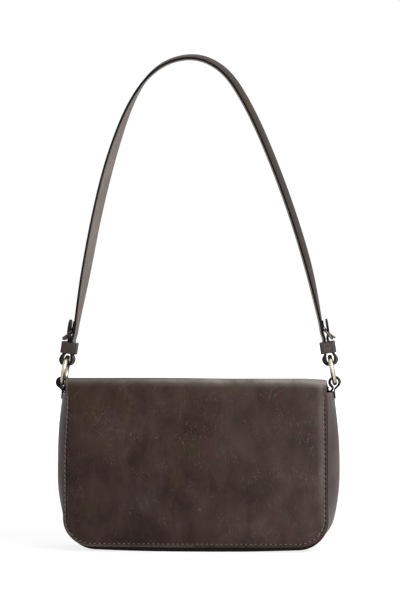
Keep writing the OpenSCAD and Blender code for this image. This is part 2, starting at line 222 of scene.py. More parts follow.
def circle(radius: float, angles: Array) -> Array:
    """Points of a circle about the origin at the given angles, one a row."""
    return radius * np.stack([np.cos(angles), np.sin(angles)], 1)


def at_depth(flat: Array, y: Any) -> Array:
    """Points given as x, z put at depth y, which is one number or one a point."""
    return np.stack([flat[:, 0], np.broadcast_to(y, len(flat)), flat[:, 1]], 1)


def running_mean(values: Array, half: int) -> Array:
    """Mean of each value and its neighbours up to half places away, with the end values repeated."""
    return np.convolve(np.pad(values, half, "edge"), np.ones(2 * half + 1) / (2 * half + 1), "valid")


def resample(path: Array, step: float) -> Array:
    """Points at an even spacing along a polyline.

    Args:
        path: Points, one a row.
        step: Spacing wanted.

    Returns:
        New points, the first and last kept.
    """
    length = lengths_along(path)
    count = max(2, int(round(length[-1] / step)) + 1)
    at = np.linspace(0, length[-1], count)
    return np.stack([np.interp(at, length, path[:, k]) for k in range(path.shape[1])], 1)


def relax(path: Array, rounds: int) -> Array:
    """Rounds off a polyline: each inner point moves to a quarter, half, quarter mean with its neighbours.

    Args:
        path: Points, one a row.
        rounds: How often it is done.

    Returns:
        The rounded polyline, the first and last points kept.
    """
    for _ in range(rounds):
        path = np.concatenate([path[:1], 0.25 * path[:-2] + 0.5 * path[1:-1] + 0.25 * path[2:], path[-1:]])
    return path


# Places near an edge, in millimetres, where the leather turns and the seam lies
EDGE_PLACES = (0, 0.5, 1.2, 2.1, 3.1, 4.2, 6, 9)


def edge_spaced(length: float, count: int, edges: Sequence[float] = EDGE_PLACES) -> Array:
    """Places from 0 to length that crowd at both ends, where the edge turns and the seam lies.

    Args:
        length: Distance covered.
        count: Even steps between the two crowded ends.
        edges: Places near each end.

    Returns:
        Increasing places from 0 to length.
    """
    near = np.array(edges, float)
    middle = np.linspace(near[-1], length - near[-1], count + 1)[1:-1]
    return np.concatenate([near, middle, length - near[::-1]])


def quads(rows: int, cols: int, start: int = 0, wrap_rows: bool = False, wrap_cols: bool = False) -> Array:
    """Quads of a grid of points stored row by row.

    Args:
        rows: Number of rows.
        cols: Number of points in a row.
        start: Number of the first point.
        wrap_rows: Whether the last row joins the first.
        wrap_cols: Whether each row closes on itself.

    Returns:
        Four point numbers a face.
    """
    i = np.arange(rows if wrap_rows else rows - 1)[:, None]
    j = np.arange(cols if wrap_cols else cols - 1)[None, :]
    i2, j2 = (i + 1) % rows, (j + 1) % cols
    faces = [i * cols + j, i * cols + j2, i2 * cols + j2, i2 * cols + j]
    return np.stack([np.broadcast_to(f, (i.shape[0], j.shape[1])).ravel() for f in faces], 1) + start


def outward(points: Array, faces: list[Array]) -> list[Array]:
    """Turns the faces of a closed mesh outwards, from the sign of its volume.

    Args:
        points: Points, one a row.
        faces: Arrays of faces of equal corner count.

    Returns:
        The faces, all reversed where the volume came out negative.
    """
    volume = 0.0
    for f in faces:
        for k in range(1, f.shape[1] - 1):
            a, b, c = points[f[:, 0]], points[f[:, k]], points[f[:, k + 1]]
            volume += float(np.einsum("ij,ij->i", a, np.cross(b, c)).sum())
    return faces if volume > 0 else [f[:, ::-1] for f in faces]


def make_piece(name: str, points: Array, faces: list[Array], smooth: bool = True,
               values: Optional[dict[str, Array]] = None) -> bpy.types.Object:
    """Puts a mesh worked out in millimetres into a new object at the origin.

    Args:
        name: The piece's name.
        points: Points in millimetres.
        faces: Arrays of faces of equal corner count.
        smooth: Whether the faces shade smoothly.
        values: Named numbers, one a point, that materials read.

    Returns:
        The new object.
    """
    mesh = bpy.data.meshes.new(name)
    points = np.ascontiguousarray(points, float) * MM
    corners = np.concatenate([f.ravel() for f in faces]).astype(np.int32)
    totals = np.concatenate([np.full(len(f), f.shape[1]) for f in faces]).astype(np.int32)
    starts = np.concatenate([[0], np.cumsum(totals)[:-1]]).astype(np.int32)
    mesh.vertices.add(len(points))
    mesh.vertices.foreach_set("co", points.astype(np.float32).ravel())
    mesh.loops.add(len(corners))
    mesh.loops.foreach_set("vertex_index", corners)
    mesh.polygons.add(len(totals))
    mesh.polygons.foreach_set("loop_start", starts)
    mesh.polygons.foreach_set("use_smooth", np.full(len(totals), smooth))
    mesh.update(calc_edges=True)
    for key, numbers in (values or {}).items():
        layer = mesh.attributes.new(key, "FLOAT", "POINT")
        layer.data.foreach_set("value", np.ascontiguousarray(numbers, np.float32))
    mesh.validate()
    piece = bpy.data.objects.new(name, mesh)
    bpy.context.scene.collection.objects.link(piece)
    return piece


def closed_sheet(name: str, outer: Array, inner: Array, turn: float = 0.35,
                 grids: Optional[dict[str, Array]] = None) -> bpy.types.Object:
    """Leather or cloth between two grids of points, with its cut edge rounded.

    The border of the outer grid joins the border of the inner one through two rings that stand out by turn.
    The number "rim" is 1 on those rings, a third at the border and 0 elsewhere.

    Args:
        name: The piece's name.
        outer: Outer points, rows by columns by three.
        inner: Inner points in the same layout.
        turn: How far the cut edge stands out.
        grids: Named numbers in the grid's layout, for materials.

    Returns:
        The new object, closed and facing outwards.
    """
    rows, cols = outer.shape[:2]
    out = np.zeros_like(outer)
    out[0] += unit(outer[0] - outer[1])
    out[-1] += unit(outer[-1] - outer[-2])
    out[:, 0] += unit(outer[:, 0] - outer[:, 1])
    out[:, -1] += unit(outer[:, -1] - outer[:, -2])
    number = np.arange(rows * cols).reshape(rows, cols)
    loop = np.concatenate([number[0], number[1:, -1], number[-1, -2::-1], number[-2:0:-1, 0]])
    flat_out, flat_in = outer.reshape(-1, 3), inner.reshape(-1, 3)
    push = turn * unit(out.reshape(-1, 3)[loop])
    ring_a = 0.72 * flat_out[loop] + 0.28 * flat_in[loop] + push
    ring_b = 0.28 * flat_out[loop] + 0.72 * flat_in[loop] + push
    points = np.concatenate([flat_out, flat_in, ring_a, ring_b])
    total, count = rows * cols, len(loop)
    after = np.roll(np.arange(count), -1)

    def strip(a: Array, b: Array) -> Array:
        """Quads between two rings of point numbers."""
        return np.stack([a, a[after], b[after], b], 1)

    a_ring = 2 * total + np.arange(count)
    b_ring = a_ring + count
    faces = [quads(rows, cols), quads(rows, cols, total)[:, ::-1], strip(loop, a_ring)[:, ::-1],
             strip(a_ring, b_ring)[:, ::-1], strip(b_ring, loop + total)[:, ::-1]]
    rim = np.zeros(len(points))
    rim[loop] = rim[loop + total] = 0.33
    rim[2 * total:] = 1
    values = {key: np.concatenate([grid.ravel(), grid.ravel(), grid.ravel()[loop], grid.ravel()[loop]])
              for key, grid in (grids or {}).items()}
    return make_piece(name, points, outward(points, faces), values={"rim": rim, **values})


def soft_oblong(across: float, thick: float, corner: float, steps: int = 3) -> Array:
    """Outline of a flat bar with rounded corners: four quarter circles joined by straights.

    Args:
        across: Size along the first axis.
        thick: Size along the second axis.
        corner: Radius of the corners.
        steps: Steps in each quarter circle.

    Returns:
        Points in turn round the outline.
    """
    quarter = np.linspace(0, np.pi / 2, steps + 1)
    parts = []
    for k, (sx, sy) in enumerate(((1, 1), (-1, 1), (-1, -1), (1, -1))):
        centre = np.array([sx * (across / 2 - corner), sy * (thick / 2 - corner)])
        parts.append(centre + circle(corner, quarter + k * np.pi / 2))
    return np.concatenate(parts)


def sweep(name: str, centres: Array, first: Array, second: Array, outline: Array,
          widths: Optional[Array] = None, rim_from: float = 0.0, depths: Optional[Array] = None,
          settle: Optional[Callable[[Array], Array]] = None) -> bpy.types.Object:
    """Carries an outline along a path that has two ends, and closes them.

    A point is the centre plus outline x times width along first plus outline y times depth along second.

    Args:
        name: The piece's name.
        centres: Points of the path.
        first: Unit direction of the outline's first axis at each point.
        second: Unit direction of its second axis.
        outline: Outline points in turn.
        widths: Share of the first axis at each point, 1 where left out.
        rim_from: Share of the half width beyond which the number "rim" is 1.
        depths: Share of the second axis at each point, 1 where left out.
        settle: Last change to the finished points.

    Returns:
        The new object.
    """
    n, m = len(centres), len(outline)
    share = np.ones(n) if widths is None else widths
    deep = np.ones(n) if depths is None else depths
    points = (centres[:, None] + (outline[None, :, :1] * share[:, None, None]) * first[:, None]
              + outline[None, :, 1:] * deep[:, None, None] * second[:, None]).reshape(-1, 3)
    far_out = np.abs(outline[:, 0]) > rim_from * np.abs(outline[:, 0]).max()
    rim = np.concatenate([np.tile(far_out.astype(float), n), [1, 1]])
    caps = np.stack([points[:m].mean(0), points[-m:].mean(0)])
    ring = np.arange(m)
    after = np.roll(ring, -1)
    faces = [quads(n, m, wrap_cols=True), np.stack([np.full(m, n * m), after, ring], 1),
             np.stack([np.full(m, n * m + 1), (n - 1) * m + ring, (n - 1) * m + after], 1)]
    points = np.concatenate([points, caps])
    points = settle(points) if settle else points
    return make_piece(name, points, outward(points, faces), values={"rim": rim})


def tangents(path: Array) -> Array:
    """Unit tangents of a polyline, from each point's two neighbours.

    Args:
        path: Points, one a row.

    Returns:
        A direction for each point.
    """
    ahead = np.concatenate([path[1:], path[-1:]])
    behind = np.concatenate([path[:1], path[:-1]])
    return unit(ahead - behind)


def stitches(name: str, seam: Array, normal: Array, pitch: float = 4.4, length: float = 3.7,
             width: float = 0.85, lie: Lie = Lie.STRAIGHT, height: float = 0.42) -> bpy.types.Object:
    """A row of thread stitches, each a low spindle half sunk in the leather.

    A spindle is an ellipsoid of five rings of six points, laid along the seam and turned by the lie's angle.

    Args:
        name: The piece's name.
        seam: Points of the seam line on the surface.
        normal: Outward direction of the surface, one for all or one a point.
        pitch: Distance between stitches.
        length: Length of a stitch.
        width: Width of a stitch.
        lie: How the stitches lie.
        height: How far a stitch stands proud.

    Returns:
        The new object.
    """
    normal = np.broadcast_to(np.asarray(normal, float), seam.shape)
    joined = resample(np.concatenate([seam, normal], 1), pitch)
    at, up = joined[:, :3], unit(joined[:, 3:])
    along = tangents(at)
    aside = unit(np.cross(up, along))
    turn = math.radians(lie.value)
    along, aside = (math.cos(turn) * along + math.sin(turn) * aside,
                    math.cos(turn) * aside - math.sin(turn) * along)
    rows, sides = 5, 6
    polar = np.linspace(0.12, 0.88, rows) * np.pi
    turns = np.arange(sides) * 2 * np.pi / sides
    a = -np.cos(polar)[:, None] * np.ones(sides)
    b = np.sin(polar)[:, None] * np.cos(turns)
    c = np.sin(polar)[:, None] * np.sin(turns)
    local = np.concatenate([np.stack([a, b, c], -1).reshape(-1, 3), [[-1, 0, 0], [1, 0, 0]]])
    points = (at[:, None] + local[None, :, :1] * (length / 2) * along[:, None]
              + local[None, :, 1:2] * (width / 2) * aside[:, None]
              + local[None, :, 2:] * height * up[:, None])
    count, size = len(at), len(local)
    body = quads(rows, sides, wrap_cols=True)
    ring = np.arange(sides)
    after = np.roll(ring, -1)
    last = (rows - 1) * sides
    tips = np.concatenate([np.stack([np.full(sides, rows * sides), after, ring], 1),
                           np.stack([np.full(sides, rows * sides + 1), last + ring, last + after], 1)])
    shift = (np.arange(count) * size)[:, None, None]
    faces = [(body[None] + shift).reshape(-1, 4), (tips[None] + shift).reshape(-1, 3)]
    return make_piece(name, points.reshape(-1, 3), outward(points.reshape(-1, 3), faces))


def needle_holes(name: str, seam: Array, normal: Array, radius: float,
                 pitch: float = 4.4) -> bpy.types.Object:
    """Needle holes between the stitches as painted shade, each a flat cone of eight sides just above the
    leather.

    A hole is half as long again along the seam as it is across.

    Args:
        name: The piece's name.
        seam: Points of the line of holes on the surface.
        normal: Outward direction of the surface.
        radius: Radius of a hole across the seam.
        pitch: Distance between holes.

    Returns:
        The new object.
    """
    at = resample(seam, pitch)
    at = 0.5 * (at[1:] + at[:-1])
    up = unit(np.broadcast_to(np.asarray(normal, float), at.shape))
    along = tangents(at)
    aside = unit(np.cross(up, along))
    sides, sunk, proud, tip = 8, 0.3, 0.02, 0.07
    a = np.arange(sides) * 2 * np.pi / sides
    ring = (at[:, None] + radius * 1.5 * np.cos(a)[None, :, None] * along[:, None]
            + radius * np.sin(a)[None, :, None] * aside[:, None])
    points = np.concatenate([ring - sunk * up[:, None], ring + proud * up[:, None],
                             (at - sunk * up)[:, None], (at + tip * up)[:, None]], 1)
    k = np.arange(sides)
    after = np.roll(k, -1)
    side = np.stack([k, after, after + sides, k + sides], 1)
    ends = np.concatenate([np.stack([np.full(sides, 2 * sides), after, k], 1),
                           np.stack([np.full(sides, 2 * sides + 1), k + sides, after + sides], 1)])
    shift = (np.arange(len(at)) * (2 * sides + 2))[:, None, None]
    faces = [(side[None] + shift).reshape(-1, 4), (ends[None] + shift).reshape(-1, 3)]
    return make_piece(name, points.reshape(-1, 3), outward(points.reshape(-1, 3), faces), smooth=False)


def cut_through(piece: bpy.types.Object, cutters: list[bpy.types.Object]) -> None:
    """Cuts holes with other meshes and removes them, so the piece keeps a plain mesh.

    Args:
        piece: The piece that gets the holes.
        cutters: Closed meshes, removed afterwards.
    """
    for cutter in cutters:
        change = piece.modifiers.new("hole", "BOOLEAN")
        change.operation, change.solver, change.object = "DIFFERENCE", "EXACT", cutter
    bpy.context.view_layer.update()
    done = bpy.data.meshes.new_from_object(piece.evaluated_get(bpy.context.evaluated_depsgraph_get()))
    piece.modifiers.clear()
    old, piece.data = piece.data, done
    bpy.data.meshes.remove(old)
    for cutter in cutters:
        bpy.data.objects.remove(cutter)


# Finishes


class Sheet:
    """One node tree being filled: adds nodes, sets their inputs and links them."""

    def __init__(self, tree: bpy.types.NodeTree) -> None:
        """Keeps the tree."""
        self.tree = tree

    def add(self, kind: str, inputs: Optional[dict[Any, Any]] = None, **settings: Any) -> bpy.types.Node:
        """Adds a node.

        Args:
            kind: The node's type name.
            inputs: Socket name or number to a value, or to an output socket to link from.
            **settings: The node's own properties.

        Returns:
            The new node.
        """
        node = self.tree.nodes.new(kind)
        for key, value in settings.items():
            setattr(node, key, value)
        self.feed(node, inputs or {})
        return node

    def feed(self, node: bpy.types.Node, inputs: dict[Any, Any]) -> None:
        """Sets or links a node's inputs.

        Args:
            node: The node.
            inputs: Socket name or number to a value, or to an output socket to link from.
        """
        for key, value in inputs.items():
            if isinstance(value, bpy.types.NodeSocket):
                self.tree.links.new(value, node.inputs[key])
            else:
                node.inputs[key].default_value = value

    def group(self, tree: bpy.types.NodeTree, inputs: dict[Any, Any]) -> bpy.types.Node:
        """Adds a node group with its inputs."""
        return self.add("ShaderNodeGroup", inputs, node_tree=tree)

    def moved(self, vector: Any, **change: tuple[float, float, float]) -> bpy.types.NodeSocket:
        """Coordinates after a Location, a Rotation or a Scale."""
        return self.add("ShaderNodeMapping", {"Vector": vector, **change}).outputs[0]

    def number(self, name: str) -> bpy.types.NodeSocket:
        """A number that the piece's mesh holds for each point, 0 where it has none of that name."""
        return self.add("ShaderNodeAttribute", attribute_name=name).outputs["Fac"]

    def bump(self, strength: float, distance: float, height: Any) -> bpy.types.NodeSocket:
        """The normal of a surface with that height on it."""
        return self.add("ShaderNodeBump", {"Strength": strength, "Distance": distance,
                                           "Height": height}).outputs[0]

    def maths(self, operation: str, a: Any, b: Any = 0.0, clamp: bool = False) -> bpy.types.NodeSocket:
        """One step of arithmetic on numbers or sockets."""
        return self.add("ShaderNodeMath", {0: a, 1: b}, operation=operation, use_clamp=clamp).outputs[0]

    def span(self, value: Any, low: float, high: float, to_low: float = 0.0,
             to_high: float = 1.0) -> bpy.types.NodeSocket:
        """Maps low to high onto to_low to to_high, clamped."""
        return self.add("ShaderNodeMapRange", {0: value, 1: low, 2: high, 3: to_low, 4: to_high}).outputs[0]

    def noise(self, vector: Any, scale: float, detail: float = 3.0, rough: float = 0.5,
              distortion: float = 0.0) -> bpy.types.NodeSocket:
        """Fractal noise from 0 to 1."""
        return self.add("ShaderNodeTexNoise", {"Vector": vector, "Scale": scale, "Detail": detail,
                                               "Roughness": rough, "Distortion": distortion}).outputs[0]

    def mix(self, share: Any, a: Any, b: Any) -> bpy.types.NodeSocket:
        """Mixes two colours."""
        return self.add("ShaderNodeMix", {0: share, 6: a, 7: b}, data_type="RGBA").outputs[2]


def opaque(colour: Colour) -> tuple[float, float, float, float]:
    """A colour with full alpha."""
    return (*colour, 1.0)


def new_group(name: str, inputs: Sequence[tuple[str, str, Any]], outputs: Sequence[tuple[str, str]],
              fill: Callable[[Sheet, Any, Any], None]) -> bpy.types.NodeTree:
    """Makes a shader node group once.

    Args:
        name: The group's name.
        inputs: Name, socket type and default of each input.
        outputs: Name and socket type of each output.
        fill: Puts the nodes in, given the sheet, the group's input sockets and its output node.

    Returns:
        The group.
    """
    found = bpy.data.node_groups.get(name)
    if found:
        return found
    tree = bpy.data.node_groups.new(name, "ShaderNodeTree")
    for label, kind, value in inputs:
        socket = tree.interface.new_socket(label, in_out="INPUT", socket_type=kind)
        if value is not None:
            socket.default_value = value
    for label, kind in outputs:
        tree.interface.new_socket(label, in_out="OUTPUT", socket_type=kind)
    sheet = Sheet(tree)
    fill(sheet, sheet.add("NodeGroupInput").outputs, sheet.add("NodeGroupOutput"))
    return tree


FLOAT, COLOUR, VECTOR = "NodeSocketFloat", "NodeSocketColor", "NodeSocketVector"


def mottle_group() -> bpy.types.NodeTree:
    """Waxed hide colour: broad blotches between two browns, with reddish, grey and olive clouds over them.

    A cloud's row gives its colour, its place, the noise's scale, detail, roughness and distortion, and the
    span of that noise over which the cloud grows to its full share.

    Returns:
        The group.
    """
    clouds = (("Red", (0.7, 0.3, 0.2), 30.0, 3.0, 0.5, 0.4, 0.54, 0.72, 0.6),
              ("Olive", (0.1, 0.9, 0.5), 34.0, 3.0, 0.5, 0.3, 0.57, 0.74, 0.55),
              ("Grey", (0.4, 0.2, 0.8), 22.0, 4.0, 0.55, 0.5, 0.55, 0.75, 0.4))

    def fill(s: Sheet, given: Any, out: Any) -> None:
        """Puts the blotches in, then each cloud.

        Args:
            s: The group's sheet.
            given: The group's input sockets.
            out: The group's output node.
        """
        broad = s.noise(given["Vector"], 24.0, 4.0, 0.55, 0.6)
        tall = s.noise(s.moved(given["Vector"], Scale=(1.5, 1.5, 0.6)), 46.0, 5.0, 0.6, 0.8)
        both = s.maths("ADD", s.maths("MULTIPLY", broad, 0.62), s.maths("MULTIPLY", tall, 0.38))
        patch = s.span(both, 0.385, 0.625)
        colour = s.mix(patch, given["Dark"], given["Light"])
        for name, place, scale, detail, rough, distortion, low, high, full in clouds:
            cloud = s.noise(s.moved(given["Vector"], Location=place), scale, detail, rough, distortion)
            colour = s.mix(s.span(cloud, low, high, 0.0, full), colour, given[name])
        s.feed(out, {"Colour": colour, "Patch": patch})

    browns = [(name, COLOUR, (0.05, 0.035, 0.03, 1)) for name in ("Dark", "Light", "Red", "Olive", "Grey")]
    return new_group("hide_mottle", [("Vector", VECTOR, None), *browns],
                     [("Colour", COLOUR), ("Patch", FLOAT)], fill)


def crease_group() -> bpy.types.NodeTree:
    """Fine pale scratches: short upright hairs, long leant strokes and a little crackle, shown in patches.

    A kind of scratch has its lean, its stretch, the noise's scale, the noise's value from which it shows, and
    the scale of the patches that it shows in.

    Returns:
        The group.
    """
    scratches = ((0.06, 0.10, 800.0, 0.575, 48.0), (-0.55, 0.05, 520.0, 0.63, 30.0))

    def fill(s: Sheet, given: Any, out: Any) -> None:
        """Puts the crackle in, then each kind of scratch.

        Args:
            s: The group's sheet.
            given: The group's input sockets.
            out: The group's output node.
        """
        place = given["Vector"]
        warp = s.add("ShaderNodeTexNoise", {"Vector": place, "Scale": 70.0, "Detail": 3.0}).outputs[1]
        bent = s.add("ShaderNodeMix", {0: 0.02, 4: place, 5: warp}, data_type="VECTOR").outputs[1]
        cells = s.add("ShaderNodeTexVoronoi", {"Vector": bent, "Scale": 150.0},
                      feature="DISTANCE_TO_EDGE").outputs[0]
        mark = s.maths("MULTIPLY", s.span(cells, 0.0, 0.07, 1.0, 0.0),
                       s.span(s.noise(place, 24.0, 2.0), 0.58, 0.68, 0.0, 0.5))
        for lean, stretch, scale, low, patches in scratches:
            turned = s.moved(bent, Rotation=(0, lean, 0))
            tall = s.moved(turned, Scale=(1.0, 1.0, stretch))
            hairs = s.span(s.noise(tall, scale, 2.0, 0.6), low, low + 0.1)
            where = s.span(s.noise(turned, patches, 2.0), 0.48, 0.64)
            mark = s.maths("MAXIMUM", mark, s.maths("MULTIPLY", hairs, where))
        s.feed(out, {"Mark": s.maths("MULTIPLY", mark, given["Amount"], True)})

    return new_group("hide_creases", [("Vector", VECTOR, None), ("Amount", FLOAT, 1.0)],
                     [("Mark", FLOAT)], fill)


def grain_group() -> bpy.types.NodeTree:
    """Height of fine hide grain: small cells two thirds of a millimetre wide over a faint ripple.

    Returns:
        The group.
    """

    def fill(s: Sheet, given: Any, out: Any) -> None:
        """Puts the cells and the ripple in.

        Args:
            s: The group's sheet.
            given: The group's input sockets.
            out: The group's output node.
        """
        cells = s.add("ShaderNodeTexVoronoi", {"Vector": given["Vector"], "Scale": given["Scale"]},
                      feature="SMOOTH_F1").outputs[0]
        ripple = s.noise(given["Vector"], 160.0, 4.0, 0.6)
        s.feed(out, {"Height": s.maths("ADD", s.maths("MULTIPLY", cells, 0.55), ripple)})

    return new_group("hide_grain", [("Vector", VECTOR, None), ("Scale", FLOAT, 1500.0)],
                     [("Height", FLOAT)], fill)


def new_material(name: str) -> tuple[bpy.types.Material, Sheet, bpy.types.Node, bpy.types.NodeSocket]:
    """Starts a material.

    Args:
        name: The material's name.

    Returns:
        The material, its sheet, its Principled shader and the piece's own Object coordinates.
    """
    material = bpy.data.materials.new(name)
    material.use_nodes = True
    sheet = Sheet(material.node_tree)
    shader = material.node_tree.nodes["Principled BSDF"]
    return material, sheet, shader, sheet.add("ShaderNodeTexCoord").outputs["Object"]


@dataclass(frozen=True)
class HideFinish:
    """Mottled waxed leather with creases, grain, a painted cut edge, and painted shade and highlight."""

    name: str
    dark: Colour = (0.0250, 0.0110, 0.0086)
    light: Colour = (0.0635, 0.0345, 0.0280)
    red: Colour = (0.052, 0.018, 0.0175)
    olive: Colour = (0.046, 0.029, 0.012)
    grey: Colour = (0.068, 0.052, 0.048)
    edge: Colour = (0.007, 0.005, 0.0045)
    mark: Colour = (0.15, 0.12, 0.105)
    # Colour of the lightening: painted highlight where light falls on the flap, and rubbed wear on the
    # keepers
    worn: Colour = (0.26, 0.23, 0.205)
    marks: float = 1.0
    rough: float = 0.44
    grain: float = 0.16
    specular: float = 0.22

    def build(self) -> bpy.types.Material:
        """Builds the material from the hide groups, edge paint ("rim"), painted shade ("dark") and the
        lightening.

        Returns:
            The material.
        """
        material, s, shader, place = new_material(self.name)
        mottle = s.group(mottle_group(), {
            "Vector": place, "Dark": opaque(self.dark), "Light": opaque(self.light), "Red": opaque(self.red),
            "Olive": opaque(self.olive), "Grey": opaque(self.grey)})
        crease = s.group(crease_group(), {"Vector": place, "Amount": self.marks}).outputs[0]
        grain = s.group(grain_group(), {"Vector": place}).outputs[0]
        # Edge paint on the cut edge, and painted shade where the mesh's dark number asks; both go towards the
        # edge colour
        painted = s.maths("MAXIMUM", s.span(s.number("rim"), 0.3, 0.75), s.number("dark"))
        # Lightening in blotches: painted highlight where the light falls on the flap, rubbed wear on the
        # keepers
        blotch = s.span(s.noise(place, 48.0, 5.0, 0.65), 0.32, 0.66, 0.4, 1.1)
        patchy = s.maths("MULTIPLY", s.number("worn"), blotch, True)
        colour = s.mix(s.maths("MULTIPLY", crease, 0.5), mottle.outputs[0], opaque(self.mark))
        colour = s.mix(patchy, colour, opaque(self.worn))
        colour = s.mix(painted, colour, opaque(self.edge))
        rough = s.maths("ADD", s.maths("MULTIPLY", mottle.outputs[1], 0.12), self.rough - 0.06)
        rough = s.maths("SUBTRACT", rough, s.maths("MULTIPLY", painted, 0.12))
        height = s.maths("SUBTRACT", grain, s.maths("MULTIPLY", crease, 0.6))
        s.feed(shader, {"Base Color": colour, "Roughness": rough, "Specular IOR Level": self.specular,
                        "Normal": s.bump(self.grain, 0.0006, height)})
        return material


@dataclass(frozen=True)
class ClothFinish:
    """Cotton twill: diagonal ribs, a soft weave and slight fading."""

    name: str
    dark: Colour = (0.20, 0.145, 0.098)
    light: Colour = (0.30, 0.225, 0.155)

    def build(self) -> bpy.types.Material:
        """Builds the material: a wave across the leant ribs, and noise for the fading.

        Returns:
            The material.
        """
        material, s, shader, place = new_material(self.name)
        leant = s.moved(place, Rotation=(0.4, 0.785, 0.5))
        ribs = s.add("ShaderNodeTexWave", {"Vector": leant, "Scale": 420.0, "Distortion": 0.4,
                                           "Detail": 1.0}).outputs[1]
        fade = s.span(s.noise(place, 28.0, 4.0), 0.35, 0.65)
        tone = s.maths("ADD", s.maths("MULTIPLY", ribs, 0.5), s.maths("MULTIPLY", fade, 0.5))
        s.feed(shader, {"Base Color": s.mix(tone, opaque(self.dark), opaque(self.light)), "Roughness": 0.85,
                        "Normal": s.bump(0.35, 0.0003, ribs), "Specular IOR Level": 0.2})
        return material


@dataclass(frozen=True)
class MetalFinish:
    """Plated metal with dull patches and hairline marks."""

    name: str
    bright: Colour = (0.85, 0.80, 0.62)
    dull: Colour = (0.34, 0.31, 0.21)
    # Share of the dull patches
    worn: float = 0.4
    rough: float = 0.27

    def build(self) -> bpy.types.Material:
        """Builds the material: dull patches and specks over bright metal, and a fine bump.

        Returns:
            The material.
        """
        material, s, shader, place = new_material(self.name)
        patch = s.span(s.noise(place, 210.0, 5.0, 0.6, 0.5), 0.42, 0.66)
        speck = s.span(s.noise(place, 900.0, 3.0), 0.6, 0.7)
        old = s.maths("MULTIPLY", s.maths("MAXIMUM", patch, speck), self.worn)
        s.feed(shader, {"Base Color": s.mix(old, opaque(self.bright), opaque(self.dull)), "Metallic": 1.0,
                        "Roughness": s.maths("ADD", s.maths("MULTIPLY", old, 0.3), self.rough),
                        "Normal": s.bump(0.08, 0.0002, s.noise(place, 2200.0, 2.0))})
        return material


@dataclass(frozen=True)
class MatteFinish:
    """A matte surface with a fine speckle, for thread, board and needle holes."""

    name: str
    low: Colour
    high: Colour
    scale: float = 900.0
    rough: float = 0.7

    def build(self) -> bpy.types.Material:
        """Builds the material: one noise gives the colour and the bump.

        Returns:
            The material.
        """
        material, s, shader, place = new_material(self.name)
        tone = s.noise(place, self.scale, 3.0)
        s.feed(shader, {"Base Color": s.mix(tone, opaque(self.low), opaque(self.high)),
                        "Roughness": self.rough, "Normal": s.bump(0.25, 0.0002, tone),
                        "Specular IOR Level": 0.25})
        return material


@dataclass
class Finishes:
    """Every material of the bag, built once."""

    body: bpy.types.Material = field(default_factory=HideFinish("flap_hide").build)
    gusset: bpy.types.Material = field(default_factory=HideFinish(
        "gusset_hide", dark=(0.062, 0.044, 0.040), light=(0.105, 0.078, 0.071), red=(0.082, 0.055, 0.052),
        olive=(0.082, 0.066, 0.052), grey=(0.115, 0.094, 0.088), marks=0.25, rough=0.36, grain=0.1,
        specular=0.4).build)
    strap: bpy.types.Material = field(default_factory=HideFinish(
        "strap_hide", dark=(0.024, 0.0175, 0.0155), light=(0.044, 0.034, 0.0305), marks=0.6, rough=0.42,
        specular=0.16).build)
    keeper: bpy.types.Material = field(default_factory=HideFinish(
        "keeper_hide", dark=(0.034, 0.026, 0.024), light=(0.070, 0.056, 0.052), mark=(0.36, 0.31, 0.28),
        rough=0.40).build)
    strap_back: bpy.types.Material = field(default_factory=HideFinish(
        "strap_lining_hide", edge=(0.22, 0.195, 0.175), dark=(0.17, 0.142, 0.128), light=(0.27, 0.235, 0.215),
        red=(0.20, 0.15, 0.135), olive=(0.19, 0.165, 0.135), grey=(0.29, 0.26, 0.245), marks=0.3,
        rough=0.45).build)
    suede: bpy.types.Material = field(default_factory=MatteFinish(
        "flap_suede", (0.085, 0.055, 0.042), (0.14, 0.095, 0.075), 500.0, 0.9).build)
    cloth: bpy.types.Material = field(default_factory=ClothFinish("lining_twill").build)
    board: bpy.types.Material = field(default_factory=MatteFinish(
        "base_board_grey", (0.03, 0.03, 0.033), (0.06, 0.06, 0.065)).build)
    brass: bpy.types.Material = field(default_factory=MetalFinish("aged_brass").build)
    bronze: bpy.types.Material = field(default_factory=MetalFinish(
        "darkened_brass", (0.13, 0.115, 0.09), (0.03, 0.027, 0.022), 0.6, 0.24).build)
    steel: bpy.types.Material = field(default_factory=MetalFinish(
        "plain_steel", (0.56, 0.56, 0.55), (0.35, 0.35, 0.35), 0.3, 0.33).build)
    thread: bpy.types.Material = field(default_factory=MatteFinish(
        "seam_thread", (0.13, 0.11, 0.095), (0.31, 0.27, 0.235), 1400.0, 0.6).build)
    # Near-black painted shade for the inside of the needle holes
    hole_shade: bpy.types.Material = field(default_factory=MatteFinish(
        "needle_hole_shade", (0.004, 0.003, 0.003), (0.010, 0.007, 0.006)).build)


def dress(piece: bpy.types.Object, material: bpy.types.Material, body: str, slot: str,
          *nodes: str) -> bpy.types.Object:
    """Gives a piece its material and the body it rides on, and hides the CAD nodes it stands for.

    Args:
        piece: The piece.
        material: Its material.
        body: The CAD body it rides on.
        slot: Not used.
        *nodes: CAD nodes that it replaces.

    Returns:
        The piece.
    """
    piece.data.materials.clear()
    piece.data.materials.append(material)
    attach(piece, body)
    if nodes:
        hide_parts(*nodes)
    LOG.info("%s: %d faces on %s", piece.name, len(piece.data.polygons), body)
    return piece


# Panels, gusset, flap and linings


